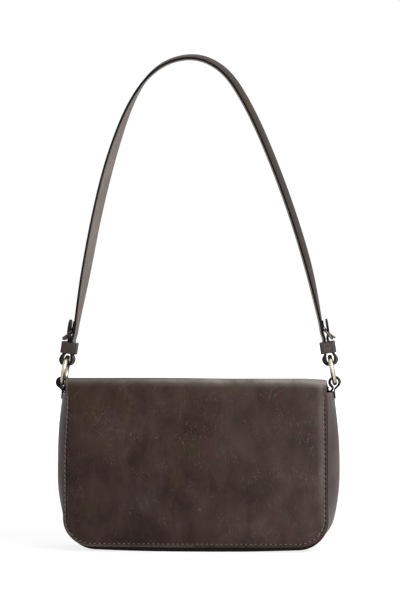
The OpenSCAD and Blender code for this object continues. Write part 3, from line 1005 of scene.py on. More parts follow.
@dataclass
class Panel:
    """A leather panel with square top and round bottom corners, gently blown out."""

    width: float = BAG.panel_w
    radius: float = BAG.panel_r
    bottom: float = 0.0
    top: float = BAG.front_h
    facing: int = -1
    face_y: float = BAG.y_front
    thick: float = BAG.leather_t
    puff: float = 1.2
    calm_top: float = 0.0
    snap_calm: float = 30.0
    curl: float = 0.0
    rise: float = 1.0
    groove_at: float = 2.9
    groove: float = 0.28
    edge_turn: float = 0.5
    edge_over: float = 3.0

    def half_at(self, z: Array) -> Array:
        """Half width at height z: a quarter circle at the bottom corner, then straight."""
        drop = np.clip(self.radius - (z - self.bottom), 0, self.radius)
        return self.width / 2 - self.radius + np.sqrt(self.radius ** 2 - drop ** 2)

    def margin(self, x: Array, z: Array) -> Array:
        """Distance inside the side and bottom edges."""
        return inside_edge(x, z, self.width, self.radius, self.bottom)

    def stand_out(self, x: Array, z: Array) -> Array:
        """How far the face stands out at x, z.

        A crown that is a parabola across and a half sine up, left flat round the snap, with low waves of a
        few tenths of a millimetre, less a groove under the stitches, a turn at the cut edge and the curl.

        Args:
            x: Places across.
            z: Heights.

        Returns:
            Distance outwards from the flat face.
        """
        up = np.clip((z - self.bottom) / (self.top - self.calm_top - self.bottom), 0, 1)
        shape = (1 - (2 * x / self.width) ** 2) * np.sin(np.pi * up) ** 0.8
        calm = 1 - np.exp(-(x ** 2 + (z - BAG.snap_z) ** 2) / self.snap_calm ** 2)
        waves = 0.28 * np.sin(x / 21 + z / 47) + 0.22 * np.sin(x / 37 - z / 19 + 1.3) + 0.5
        d = self.margin(x, z)
        groove = self.groove * np.exp(-((d - self.groove_at) / 0.8) ** 2)
        turned = self.edge_turn * (1 - smooth_step(d / self.edge_over))
        face = (self.puff * shape + waves * np.minimum(1, 1.6 * shape)) * calm - groove - turned
        return face - self.curl * BAG.flap_tuck(x, z)

    def spread(self, x: Array, z: Array) -> Array:
        """Place across after the leather has settled; a plain panel keeps its own."""
        return x + 0 * z

    def face_point(self, x: Array, z: Array) -> Array:
        """Points of the outer face at x, z, with the base's lift added."""
        y = self.face_y + self.facing * self.stand_out(x, z)
        return np.stack([self.spread(x, z), y, z + self.rise * BAG.base_rise(x, z)], -1)

    def shades(self, x: Array, z: Array) -> dict[str, Array]:
        """Painted shadow under the flap's lower edge: a dark line along the base of a panel that faces the
        front, 1 up to 4.5 mm high, 0 from 7.5 mm.
        """
        return {"dark": 1 - smooth_step((z - 4.5) / 3) if self.facing < 0 else 0 * x}

    def build(self, name: str, turn: float = 0.35) -> bpy.types.Object:
        """Builds the panel as a closed sheet.

        Args:
            name: The piece's name.
            turn: How far the cut edge stands out.

        Returns:
            The new object.
        """
        share = edge_spaced(self.width, 64) / (self.width / 2) - 1
        z = self.bottom + edge_spaced(self.top - self.bottom, 40)
        grid_z = np.repeat(z[:, None], len(share), 1)
        x = (self.half_at(grid_z) - turn) * share
        outer = self.face_point(x, grid_z)
        inner = outer + np.array([0, -self.facing * self.thick, 0])
        return closed_sheet(name, outer, inner, turn, self.shades(x, grid_z))

    def seam(self, inset: float, start: float) -> Array:
        """The line that lies inset from the edge, from height start down, along the bottom and up again.

        Args:
            inset: Distance from the edge.
            start: Height of both ends.

        Returns:
            Points on the face.
        """
        r = self.radius - inset
        cx, cz = self.width / 2 - self.radius, self.bottom + self.radius
        a = np.linspace(0, np.pi / 2, 16)
        side = np.stack([np.full(30, cx + r), np.linspace(start, cz, 30)], 1)
        corner = np.stack([cx + r * np.cos(a), cz - r * np.sin(a)], 1)
        right = np.concatenate([side, corner[1:]])
        floor = np.stack([np.linspace(cx, -cx, 60)[1:-1], np.full(58, cz - r)], 1)
        left = right[::-1] * np.array([-1, 1])
        flat = np.concatenate([right, floor, left])
        return self.face_point(flat[:, 0], flat[:, 1])


@dataclass
class FlapLeather(Panel):
    """The flap leather in one length: up the front, round the soft fold, over the top and down the back."""

    width: float = BAG.flap_w
    radius: float = BAG.flap_r
    bottom: float = BAG.flap_z
    top: float = BAG.fold_z
    curl: float = 1.0
    rise: float = 0.2
    flare: float = 1.9
    lean: float = 1.3
    flare_over: float = 75.0
    fold_half: float = 3.9
    face_y: float = BAG.y_flap
    puff: float = 2.6
    fold_r: float = 5.0
    snap_calm: float = 36.0
    back_r: float = 5.0
    back_z: float = 144.5
    back_y: float = 30.2
    lap_end: float = 118.5
    sag_from: float = 125.0
    sag_over: float = 22.0
    seam_top: float = 137.0

    def spread(self, x: Array, z: Array) -> Array:
        """Place across: the sides flare and the leather leans left, more and more below the fold."""
        g = smooth_step((self.top - z) / self.flare_over)
        return x * (1 + self.flare / (self.width / 2) * g) - self.lean * g

    def painted_light_and_wear(self, x: Array, z: Array, fold: Array) -> dict[str, Array]:
        """Painted light and shade on the flap leather, with some rubbed wear.

        A painted highlight along the fold, where the round fold catches the light, growing to the right;
        painted highlights on the outermost left margin and in a band beside the right seam, where the curled
        margins catch the light, that band being partly rubbed leather; faint painted light over the right
        half; and painted shade over the left part.

        Args:
            x: Places across.
            z: Heights on the front, or any height above the fold.
            fold: Distance along the leather from the middle of the fold.

        Returns:
            The lightening and the painted shade, "dark", for each point; the painted shade darkens the left
            part a little.
        """
        # Painted highlight where the fold catches the light, stronger to the right
        along = np.exp(-(fold / 3.6) ** 2) * (0.45 + 0.95 * (x / self.width + 0.5))
        d = self.margin(x, np.minimum(z, self.top))
        # Painted highlight where the curled left margin catches the light
        left = (x < 0) * 0.35 * (1 - smooth_step((d - 0.8) / 2.0))
        # Beside the right seam: rubbed leather, with a painted highlight on the curl
        right = (x > 0) * 0.32 * np.exp(-((d - 4.9) / 2.0) ** 2) * smooth_step((z - 18) / 25)
        # Painted light over the right half, and painted shade over the left part
        right_light = 0.06 * smooth_step((x / self.width + 0.1) / 0.55)
        shade = 0.14 * (1 - smooth_step((x / self.width + 0.5) / 0.55))
        return {"worn": np.clip(along + left + right + right_light, 0, 1.2), "dark": shade}

    def profile(self) -> tuple[Array, Array]:
        """Outer line of the leather above the front, as y, z, and its unit normals.

        A quarter circle of radius fold_r, a leaf that falls to the back with a slight sag, a quarter circle
        of radius back_r and a straight lap.

        Returns:
            Points and normals.
        """
        a = np.linspace(np.pi, np.pi / 2 + 0.05, 12)
        c = np.array([self.face_y + self.fold_r, self.top])
        fold = c + circle(self.fold_r, a)
        b = np.linspace(np.pi / 2 - 0.1, 0, 10)
        bend = np.array([self.back_y - self.back_r, self.back_z]) + circle(self.back_r, b)
        t = np.linspace(0, 1, 28)[1:-1, None]
        leaf = fold[-1] * (1 - t) + bend[0] * t - np.array([[0, 1]]) * 0.9 * np.sin(np.pi * t)
        drop = self.back_z - edge_spaced(self.back_z - self.lap_end, 5)[8:]
        lap = np.stack([np.full(len(drop), self.back_y), drop], 1)
        line = np.concatenate([fold[1:], leaf, bend, lap[lap[:, 1] < self.back_z - 0.6]])
        along = tangents(line)
        return line, np.stack([-along[:, 1], along[:, 0]], 1)

    def build(self, name: str, turn: float = 0.35) -> bpy.types.Object:
        """Builds the whole leather: the front's rows, then the profile's rows over the top and down the back.

        Args:
            name: The piece's name.
            turn: How far the cut edge stands out.

        Returns:
            The new object.
        """
        share = edge_spaced(self.width, 72) / (self.width / 2) - 1
        low = self.bottom + edge_spaced(self.top - self.bottom, 50)
        # The leather goes on over the fold, so the crowded rows of a cut edge give way to two plain ones
        low = np.concatenate([low[:-6], [self.top - 3, self.top]])
        grid_z = np.repeat(low[:, None], len(share), 1)
        x = (self.half_at(grid_z) - turn) * share
        front = self.face_point(x, grid_z)
        line, normal = self.profile()
        wide = np.broadcast_to((self.width / 2 - turn) * share, (len(line), len(share)))
        turned = self.edge_turn * (1 - smooth_step((self.width / 2 - np.abs(wide)) / self.edge_over))
        on_top = np.clip(1 - ((line[:, :1] - 2) / 24) ** 2, 0, 1)
        push = 0.35 * np.sin(wide / 33 + line[:, :1] / 15) * on_top - turned
        over = np.stack([wide, line[:, :1] + normal[:, :1] * push, line[:, 1:] + normal[:, 1:] * push], -1)
        outer = np.concatenate([front, over])
        inner_front = front + np.array([0, self.thick, 0])
        back = np.stack([np.zeros_like(wide), normal[:, :1] + 0 * wide, normal[:, 1:] + 0 * wide], -1)
        inner = np.concatenate([inner_front, over - self.thick * back])
        for skin in (outer, inner):
            near_fold = smooth_step((skin[..., 2] - self.sag_from) / self.sag_over)
            skin[..., 2] -= self.sag(skin[..., 0]) * near_fold
        flat_z = np.concatenate([grid_z, np.full(wide.shape, self.top)])
        flat_x = np.concatenate([x, wide])
        start = np.array([[self.face_y, self.top]])
        far = lengths_along(np.concatenate([start, line]))[1:] - self.fold_half
        past = np.concatenate([grid_z - self.top - self.fold_half, np.repeat(far[:, None], len(share), 1)])
        return closed_sheet(name, outer, inner, turn, self.painted_light_and_wear(flat_x, flat_z, past))

    def sag(self, x: Array) -> Array:
        """How far the fold has sunk at a place across: 0.3 mm at the left, 2 mm at the right."""
        return 0.3 + 0.8 * smooth_step((x + 40) / 80) + 0.9 * smooth_step((x - 95) / 20)

    def seam_rows(self, inset: float, gap: float = 0.0) -> tuple[Array, Array, Array]:
        """The seam in three rows.

        Args:
            inset: Distance from the edge.
            gap: How far the side rows are moved, outwards at the right and inwards at the left.

        Returns:
            The right row, the base row and the left row.
        """
        right = self.seam(inset - gap, self.seam_top)
        base = self.seam(inset + 0.3, self.seam_top)
        left = self.seam(inset + gap, self.seam_top)
        low = self.bottom + self.radius * 0.45
        return (right[(right[:, 0] > 0) & (right[:, 2] > low)], base[base[:, 2] <= low],
                left[(left[:, 0] < 0) & (left[:, 2] > low)])

    def lap_seam(self, inset: float) -> Array:
        """The stitch line across the back lap, inset from its end and its sides."""
        x = np.linspace(-self.width / 2 + inset, self.width / 2 - inset, 120)
        return at_depth(np.stack([x, np.full(len(x), self.lap_end + inset)], 1), self.back_y - 0.05)


@dataclass
class Gusset:
    """The strip down one side, under the base and up the other, swelling between the panels."""

    inset: float = 0.0
    thick: float = BAG.leather_t
    y0: float = BAG.y_gf
    y1: float = BAG.y_gb
    height: float = BAG.gusset_h
    ripple: float = 0.35
    left_more: float = 0.08
    left_shade: float = 0.42

    def outline(self, inset: float) -> tuple[Array, Array]:
        """The U of the body's outline: side, corner, base, corner, side.

        Args:
            inset: Distance inside the body's outline.

        Returns:
            Points as x, z and the outward direction at each.
        """
        r = BAG.panel_r
        z = np.linspace(self.height, r, 44)[:-1]
        a = np.linspace(0, np.pi / 2, 20)
        side = np.stack([np.full(len(z), BAG.half - inset), z], 1)
        corner = np.stack([BAG.half - r + (r - inset) * np.cos(a), r - (r - inset) * np.sin(a)], 1)
        right = np.concatenate([side, corner])
        facing = np.concatenate([np.tile([1.0, 0.0], (len(z), 1)), np.stack([np.cos(a), -np.sin(a)], 1)])
        base_x = np.linspace(BAG.half - r, -(BAG.half - r), 40)[1:-1]
        base = np.stack([base_x, np.full(len(base_x), inset)], 1)
        flip = np.array([-1, 1])
        line = np.concatenate([right, base, right[::-1] * flip])
        out = np.concatenate([facing, np.tile([0.0, -1.0], (len(base_x), 1)), facing[::-1] * flip])
        return line, out

    def stand_out(self, sign: Array, y: Array, z: Array) -> Array:
        """How far the strip stands out.

        The bag's swelling, a little more on the left, with two crossed sine ripples that calm at the base.

        Args:
            sign: The side as the sign of x.
            y: Depths.
            z: Heights.

        Returns:
            Distance outwards.
        """
        wave = self.ripple * np.sin(z / 17 + y / 9) * np.sin(z / 31 + 0.4 * sign)
        swelling = BAG.swell(z) * (1 + self.left_more * (sign < 0))
        return (swelling + wave * np.clip((z - 6) / 25, 0, 1)) * BAG.crown(y)

    def surface(self, inset: float) -> Array:
        """Points of the strip's surface: the inset U moved outwards by the swelling.

        Args:
            inset: Distance inside the body's outline.

        Returns:
            Points, along the U by across the strip by three.
        """
        line, out = self.outline(inset)
        y = self.y0 + edge_spaced(self.y1 - self.y0, 16, (0, 0.6, 1.6, 3.2))
        z = np.repeat(line[:, 1:], len(y), 1)
        x = np.repeat(line[:, :1], len(y), 1)
        push = self.stand_out(np.sign(x), y[None], z)
        px = x + out[:, :1] * push
        pz = z + out[:, 1:] * push
        pz = np.maximum(pz + BAG.base_rise(px, pz), 0.02 + inset)
        return np.stack([px, np.broadcast_to(y, px.shape), pz], -1)

    def build(self, name: str) -> bpy.types.Object:
        """Builds the strip as a closed sheet, with painted shade darkening its left side a little.

        Args:
            name: The piece's name.

        Returns:
            The new object.
        """
        outer = self.surface(self.inset)
        # Painted shade over the left side, which the light reaches less
        shade = self.left_shade * smooth_step((-outer[..., 0] - 70) / 40)
        return closed_sheet(name, outer, self.surface(self.inset + self.thick), 0.3, {"dark": shade})

    def welt(self, name: str, y: float, radius: float) -> bpy.types.Object:
        """A rolled seam edge: a circle carried along the U.

        Args:
            name: The piece's name.
            y: The seam's depth.
            radius: The circle's radius.

        Returns:
            The new object, without a painted rim.
        """
        line, out = self.outline(radius * 0.72)
        centres = at_depth(line, y)
        centres[:, 2] = np.maximum(line[:, 1] + BAG.base_rise(line[:, 0], line[:, 1]), radius + 0.02)
        second = np.tile([0.0, 1.0, 0.0], (len(out), 1))
        outline = circle(radius, np.arange(8) * np.pi / 4)
        return sweep(name, centres, at_depth(out, 0.0), second, outline, rim_from=2.0)


@dataclass
class BagBody:
    """The sewn leather body: two panels, the gusset, its rolled seams and the flap leather."""

    finishes: Finishes
    flap: FlapLeather = field(default_factory=FlapLeather)
    front: Panel = field(default_factory=Panel)
    back: Panel = field(default_factory=lambda: Panel(
        top=BAG.back_h, facing=1, face_y=BAG.y_back, puff=2.2, calm_top=30.0, snap_calm=0.1))
    suede_margin: float = 6.0

    def build(self) -> None:
        """Builds and dresses every leather piece of the body."""
        f = self.finishes
        dress(self.front.build("front_panel_hide"), f.body, "body", "body_leather", "front_panel")
        dress(self.back.build("back_panel_hide"), f.body, "body", "body_leather", "back_panel")
        strip = Gusset()
        dress(strip.build("gusset_hide"), f.gusset, "body", "gusset_leather", "gusset")
        dress(strip.welt("front_seam_edge", BAG.y_gf - 0.5, 1.0), f.gusset, "body", "gusset_leather")
        dress(strip.welt("back_seam_edge", BAG.y_gb + 0.5, 1.0), f.gusset, "body", "gusset_leather")
        self.build_flap()
        self.build_seams()

    def build_flap(self) -> None:
        """Builds the flap leather, which bends at the fold, and the lining on its inside."""
        f = self.finishes
        leather = self.flap.build("flap_leather")
        leather.data.materials.append(f.body)
        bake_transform(leather)
        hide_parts("flap_top", "flap_front")
        m = self.suede_margin
        skin = Panel(width=BAG.flap_w - 2 * m, radius=BAG.flap_r - m, bottom=BAG.flap_z + m, top=146.0,
                     face_y=BAG.y_flap + 2.8, thick=-0.7, puff=2.4, snap_calm=36.0, curl=1.0, rise=0.2)
        suede = dress(skin.build("flap_suede_lining", 0.1), f.suede, "flap", "flap_suede", "flap_lining")

    def build_seams(self) -> None:
        """Sews the flap's edge, the back lap and both panels' edges."""
        f, ahead, behind = self.finishes, (0, -1, 0), (0, 1, 0)
        for word, row, holes, long, lie in zip(("right", "base", "left"), self.flap.seam_rows(2.7, -0.6),
                                               self.flap.seam_rows(2.9, 0.9), (3.9, 2.5, 4.1),
                                               (Lie.LEANT, Lie.STRAIGHT, Lie.LEANT)):
            dress(stitches(f"flap_stitches_{word}", row, ahead, length=long, width=0.7, lie=lie, height=0.36),
                  f.thread, "flap", "body_leather")
            # Needle holes as near-black painted shade
            hole_shade = needle_holes(f"flap_needle_holes_{word}", holes, ahead, radius=0.75)
            dress(hole_shade, f.hole_shade, "flap", "body_leather")
        for word, seam, facing in (("lap", self.flap.lap_seam(3.5), behind),
                                   ("back_panel", self.back.seam(3.5, 114.0), behind),
                                   ("front_panel", self.front.seam(7.0, 122.0), ahead)):
            dress(stitches(f"{word}_stitches", seam, facing), f.thread, "body", "body_leather")


@dataclass
class SewnLining:
    """The cloth inside: front, back and gusset linings, and the slip pocket."""

    finishes: Finishes
    pocket_w: float = 136.0
    pocket_h: float = 74.0
    pocket_z: float = 36.0
    pocket_room: float = 5.8
    hem_at: float = 9.0
    cloth_t: float = 0.7
    below_top: float = 2.0
    gusset_run: float = 482.0

    def line_with(self, piece: bpy.types.Object, node: str) -> bpy.types.Object:
        """Dresses a cloth piece that stands for a CAD node."""
        return dress(piece, self.finishes.cloth, "body", "lining_cloth", node)

    def build(self) -> None:
        """Builds and dresses the cloth pieces."""
        inset = BAG.leather_t + 0.2
        w, r = BAG.panel_w - 2 * inset, BAG.panel_r - inset
        for word, top, facing, y in (("front", BAG.front_h, 1, BAG.y_gf + 0.75),
                                     ("back", BAG.gusset_h, -1, BAG.y_gb - 0.75)):
            cloth = Panel(width=w, radius=r, bottom=inset, top=top - self.below_top, facing=facing, face_y=y,
                          thick=self.cloth_t, puff=-0.2, snap_calm=0.1)
            piece = self.line_with(cloth.build(f"{word}_lining_cloth", 0.1), f"lining_{word}")
        strip = Gusset(inset=BAG.leather_t + BAG.board_t, thick=self.cloth_t, y0=BAG.y_gf + 0.8,
                       y1=BAG.y_gb - 0.8, height=BAG.gusset_h - self.below_top, ripple=0.25)
        piece = self.line_with(strip.build("gusset_lining_cloth"), "lining_gusset")
        self.build_pocket()

    def build_pocket(self) -> None:
        """Builds the slip pocket: a cloth sewn to the back lining at three edges, open at its top.

        Its distance from the lining is the pocket's room times one minus the eighth power of the place across
        and one minus the fourth power of the depth below the top, less the sewn hem.
        """
        share = edge_spaced(self.pocket_w, 30, (0, 1, 2.5, 4.5, 7, 10)) / (self.pocket_w / 2) - 1
        down = edge_spaced(self.pocket_h, 20, (0, 1, 2.5, 4.5, 7, 10)) / self.pocket_h
        x = np.repeat(share[None] * self.pocket_w / 2, len(down), 0)
        t = np.repeat(down[:, None], len(share), 1)
        room = self.pocket_room * (1 - np.abs(share[None]) ** 8) * (1 - t ** 4)
        hem = 0.3 * np.exp(-((t * self.pocket_h - self.hem_at) / 0.8) ** 2)
        y = BAG.y_gb - 0.9 - np.maximum(room - hem, 0)
        outer = np.stack([x, y, self.pocket_z + self.pocket_h * (1 - t)], -1)
        inner = outer + np.array([0, self.cloth_t, 0])
        piece = self.line_with(closed_sheet("slip_pocket_cloth", outer, inner, 0.1), "slip_pocket")
        at = np.abs(t[:, 0] * self.pocket_h - self.hem_at).argmin()
        hem_row = stitches("pocket_hem_stitches", outer[at, 3:-3], (0, -1, 0), pitch=3.2, length=2.4,
                           width=0.5, height=0.3)
        dress(hem_row, self.finishes.thread, "body", "lining_cloth")


# Tabs, buckle wraps, keepers, strap and metalwork


@dataclass(frozen=True)
class EndLayout:
    """Where one end of the strap lies: the ring, the tab's loop and the strap's loop, in millimetres."""

    ring_x: float = 120.5
    ring_z: float = 160.4
    ring_r: float = 12.0
    lean: float = 10.5
    leg_lean: float = 9.0
    strap_w: float = 15.0
    loop_in: float = 4.4
    tab_w: float = 12.0
    tab_in: float = 3.7
    tail_len: float = 36.0
    close_u: float = 9.0
    leg_n: float = -3.0
    tail_n: float = 2.2
    bar_n: float = -0.4
    bar_u: float = 26.0

    def reach(self, half: float, bore: float) -> float:
        """Distance from the ring's centre to the middle of a loop of that half width and bore."""
        return self.ring_r - half ** 2 / (4 * (self.ring_r - bore))

    @property
    def loop(self) -> Array:
        """Middle of the strap's loop, as x, z on the right side."""
        a, d = math.radians(self.lean), self.reach(self.strap_w / 2, self.loop_in)
        return np.array([self.ring_x - d * math.sin(a), self.ring_z + d * math.cos(a)])

    @property
    def tab_loop(self) -> Array:
        """Middle of the tab's loop, as x, z on the right side."""
        a, d = math.radians(self.lean), self.reach(self.tab_w / 2, self.tab_in)
        return np.array([self.ring_x + d * math.sin(a), self.ring_z - d * math.cos(a)])

    def world(self, points: Array, side: Side) -> Array:
        """Turns points beside the loop into points of the bag.

        Args:
            points: Distances outwards and up from the loop's middle, before the leg's lean.
            side: The side of the bag.

        Returns:
            Points as x, z.
        """
        a = math.radians(self.leg_lean)
        x = self.loop[0] + points[:, 0] * math.cos(a) - points[:, 1] * math.sin(a)
        z = self.loop[1] + points[:, 0] * math.sin(a) + points[:, 1] * math.cos(a)
        return np.stack([side.value * x, z], 1)

    def end_line(self) -> Array:
        """Middle line of the outer leather at one end: tail, loop and leg.

        The tail and the leg dip towards each other just above the keeper.

        Returns:
            Points as distances outwards and up from the loop's middle.
        """
        r = self.loop_in + 1

        def ease(n0: float, u0: float, n1: float) -> Array:
            """Parabola from the loop's end at n0, u0 to n1 at the height where the leathers have closed."""
            t = np.linspace(0, 1, 9)[1:]
            return np.stack([n1 + (n0 - n1) * (1 - t) ** 2, u0 + (self.close_u - u0) * t], 1)

        a, b = math.radians(30), math.radians(20)
        arc = np.linspace(a, -math.pi - b, 40)
        turn = circle(r, arc)
        up = np.linspace(self.tail_len, self.close_u, 15)[:-1]
        tail = np.stack([self.tail_n - 2.0 * np.exp(-((up - 18) / 3.2) ** 2), up], 1)
        down = np.linspace(self.close_u, self.tail_len, 15)[1:]
        leg = np.stack([self.leg_n + 1.0 * np.exp(-((down - 18.3) / 3.2) ** 2), down], 1)
        return np.concatenate([tail, ease(turn[0, 0], turn[0, 1], self.tail_n)[::-1], turn,
                               ease(turn[-1, 0], turn[-1, 1], self.leg_n), leg])


ENDS = EndLayout()
# Degrees by which the loops of the tabs and of the strap are turned to the front
TAB_TURN = {Side.LEFT: 9.0, Side.RIGHT: 3.0}
LOOP_TURN = {Side.LEFT: 4.0, Side.RIGHT: 9.0}


def face_front(points: Array, centre: Array, share: Array, degrees: float) -> Array:
    """Turns points about an upright line so that their right-hand faces come towards the front.

    Args:
        points: Points, one a row.
        centre: The line's x and y.
        share: Share of the turn for each point.
        degrees: The full turn.

    Returns:
        The turned points.
    """
    a = math.radians(degrees) * share
    dx, dy = points[:, 0] - centre[0], points[:, 1] - centre[1]
    return np.stack([centre[0] + dx * np.cos(a) + dy * np.sin(a),
                     centre[1] - dx * np.sin(a) + dy * np.cos(a), points[:, 2]], 1)


@dataclass
class RingTab:
    """The leather tab of one side: up inside the gusset, round the ring and down over the gusset's top."""

    finishes: Finishes
    side: Side
    thick: float = 1.8
    skive: float = 0.42

    def line(self) -> Array:
        """Middle line of the tab: the inner tongue, the loop over the ring's wire and the outer patch.

        Returns:
            Points as x, z.
        """
        c, r = ENDS.tab_loop, ENDS.tab_in + self.thick / 2 + 0.05
        inner = np.array([[118.9, 128.5], [118.75, 134.0], [118.7, 140.6], [119.2, 142.0], [120.6, 142.9],
                          [121.5, 143.9]])
        a = np.radians(np.linspace(246, -64, 36))
        loop = c + circle(r, a)
        z = np.array([143.3, 141.4, 138.5, 134.8])
        lift = np.array([0.8, 0.6, 0.45, 0.4])
        hug = BAG.half + Gusset().stand_out(np.full(len(z), float(self.side.value)), BAG.y_mid, z) + lift
        line = relax(resample(np.concatenate([inner, loop, np.stack([hug, z], 1)]), 0.8), 5)
        return line * np.array([self.side.value, 1])

    def settle(self, points: Array) -> Array:
        """Turns the loop to the front, growing from the gusset's top up to the ring's wire."""
        centre = np.array([self.side.value * ENDS.tab_loop[0], BAG.y_mid])
        return face_front(points, centre, smooth_step((points[:, 2] - 142.5) / 5), TAB_TURN[self.side])

    def build(self) -> None:
        """Builds the tab and the stitches on its outer patch."""
        centres = at_depth(self.line(), BAG.y_mid)
        across = np.tile([0.0, 1.0, 0.0], (len(centres), 1))
        face = np.cross(tangents(centres), across)
        far = lengths_along(centres)
        left = far[-1] - far
        widths = np.where(left < 4, 0.62 + 0.38 * np.sqrt(np.clip(1 - (1 - left / 4) ** 2, 0, 1)), 1.0)
        name = f"ring_tab_{self.side.word}"
        piece = sweep(name, centres, across, face, soft_oblong(ENDS.tab_w, self.thick, 0.45), widths=widths,
                      rim_from=0.97, depths=self.skive + (1 - self.skive) * smooth_step((left - 5.5) / 5),
                      settle=self.settle)
        dress(piece, self.finishes.strap, "body", "strap_leather", f"tab_{self.side.word}")
        keep = (left > 1.2) & (left < 5.6)
        for k, y in enumerate((-4.3, 4.3)):
            seam = centres[keep] + np.array([self.side.value * 0.45, y, 0])
            row = stitches(f"{name}_stitches_{k}", seam, (self.side.value, 0, 0.15), pitch=2.4, length=1.9,
                           width=0.6)
            dress(row, self.finishes.thread, "body", "strap_leather")


@dataclass
class BarWrap:
    """The two thin leather loops that hold the buckle's bar, either side of the prong."""

    finishes: Finishes
    side: Side
    thick: float = 0.62

    def build(self) -> None:
        """Builds both loops as one mesh: down the leg, round the bar and up again."""
        r = 0.85 + self.thick / 2
        face = ENDS.leg_n + 1.0
        a = np.radians(np.linspace(178, 362, 22))
        round_bar = np.array([ENDS.bar_n, ENDS.bar_u]) + circle(r, a)
        down = np.stack([np.full(8, face + self.thick / 2 + 0.03), np.linspace(35, 28.5, 8)], 1)
        up = np.stack([np.full(8, face + 3 * self.thick / 2 + 0.06), np.linspace(29.5, 35, 8)], 1)
        line = relax(resample(np.concatenate([down, round_bar, up]), 0.4), 4)
        flat = ENDS.world(line, self.side)
        parts = []
        for y in (-3.6, 3.6):
            centres = at_depth(flat, BAG.y_mid + y)
            across = np.tile([0.0, 1.0, 0.0], (len(flat), 1))
            parts.append(sweep("bar_wrap_part", centres, across, np.cross(tangents(centres), across),
                               soft_oblong(3.6, self.thick, 0.2, 2)))
        joined = join_pieces(f"bar_wrap_{self.side.word}", parts)
        dress(joined, self.finishes.strap, "strap", "strap_leather", f"bar_holder_{self.side.word}")


def join_pieces(name: str, parts: list[bpy.types.Object]) -> bpy.types.Object:
    """Joins meshes into one new piece and removes the parts.

    Args:
        name: The new piece's name.
        parts: Objects at the origin.

    Returns:
        The joined piece.
    """
    points, faces, rims, base = [], {}, [], 0
    for part in parts:
        mesh = part.data
        co = np.empty(len(mesh.vertices) * 3, np.float32)
        mesh.vertices.foreach_get("co", co)
        points.append(co.reshape(-1, 3) / MM)
        rim = np.zeros(len(mesh.vertices), np.float32)
        if "rim" in mesh.attributes:
            mesh.attributes["rim"].data.foreach_get("value", rim)
        rims.append(rim)
        corners = np.empty(len(mesh.loops), np.int32)
        mesh.loops.foreach_get("vertex_index", corners)
        totals = np.empty(len(mesh.polygons), np.int32)
        starts = np.empty(len(mesh.polygons), np.int32)
        mesh.polygons.foreach_get("loop_total", totals)
        mesh.polygons.foreach_get("loop_start", starts)
        for size in np.unique(totals):
            pick = starts[totals == size][:, None] + np.arange(size)
            faces.setdefault(int(size), []).append(corners[pick] + base)
        base += len(co) // 3
        bpy.data.objects.remove(part)
    whole = [np.concatenate(f) for f in faces.values()]
    return make_piece(name, np.concatenate(points), whole, values={"rim": np.concatenate(rims)})


@dataclass
class Keeper:
    """The leather keeper of one side: a closed band round the leg and the tail."""

    finishes: Finishes
    side: Side
    low: float = 5.25
    tall: float = 10.5
    wall: float = 1.6
    near: float = -5.7
    far: float = 4.9
    half_y: float = 7.8

    def build(self) -> None:
        """Builds the band: an oblong wall section carried round a rounded oblong, with a slight waist."""
        corner = 1.3
        mid_w = self.far - self.near + self.wall
        mid_d = 2 * self.half_y + self.wall
        ring = soft_oblong(mid_w, mid_d, corner, 6)
        ring = resample(np.concatenate([ring, ring[:1]]), 0.9)[:-1]
        ahead, behind = np.roll(ring, -1, 0), np.roll(ring, 1, 0)
        along = unit(ahead - behind)
        out = np.stack([along[:, 1], -along[:, 0]], 1)
        section = soft_oblong(self.wall, self.tall, 0.5, 3)
        bow = 0.25 * np.cos(np.pi * section[:, 1] / self.tall)
        u = self.low + self.tall / 2
        offset = section[:, 0] + bow * (section[:, 0] > 0)
        n = (self.near + self.far) / 2 + ring[:, None, 0] + out[:, None, 0] * offset[None]
        y = BAG.y_mid + ring[:, None, 1] + out[:, None, 1] * offset[None]
        up = np.broadcast_to(u + section[None, :, 1], n.shape)
        flat = ENDS.world(np.stack([n.ravel(), up.ravel()], 1), self.side)
        points = at_depth(flat, y.ravel())
        faces = [quads(len(ring), len(section), wrap_rows=True, wrap_cols=True)]
        rim = np.tile((np.abs(section[:, 1]) > 0.46 * self.tall).astype(float), len(ring))
        rubbed = np.tile(0.45 * np.exp(-(section[:, 1] / 3.2) ** 2) * (section[:, 0] > 0), len(ring))
        piece = make_piece(f"keeper_band_{self.side.word}", points, outward(points, faces),
                           values={"rim": rim, "worn": rubbed})
        node = f"keeper_{self.side.word}"
        dress(piece, self.finishes.keeper, node, "strap_leather", node)


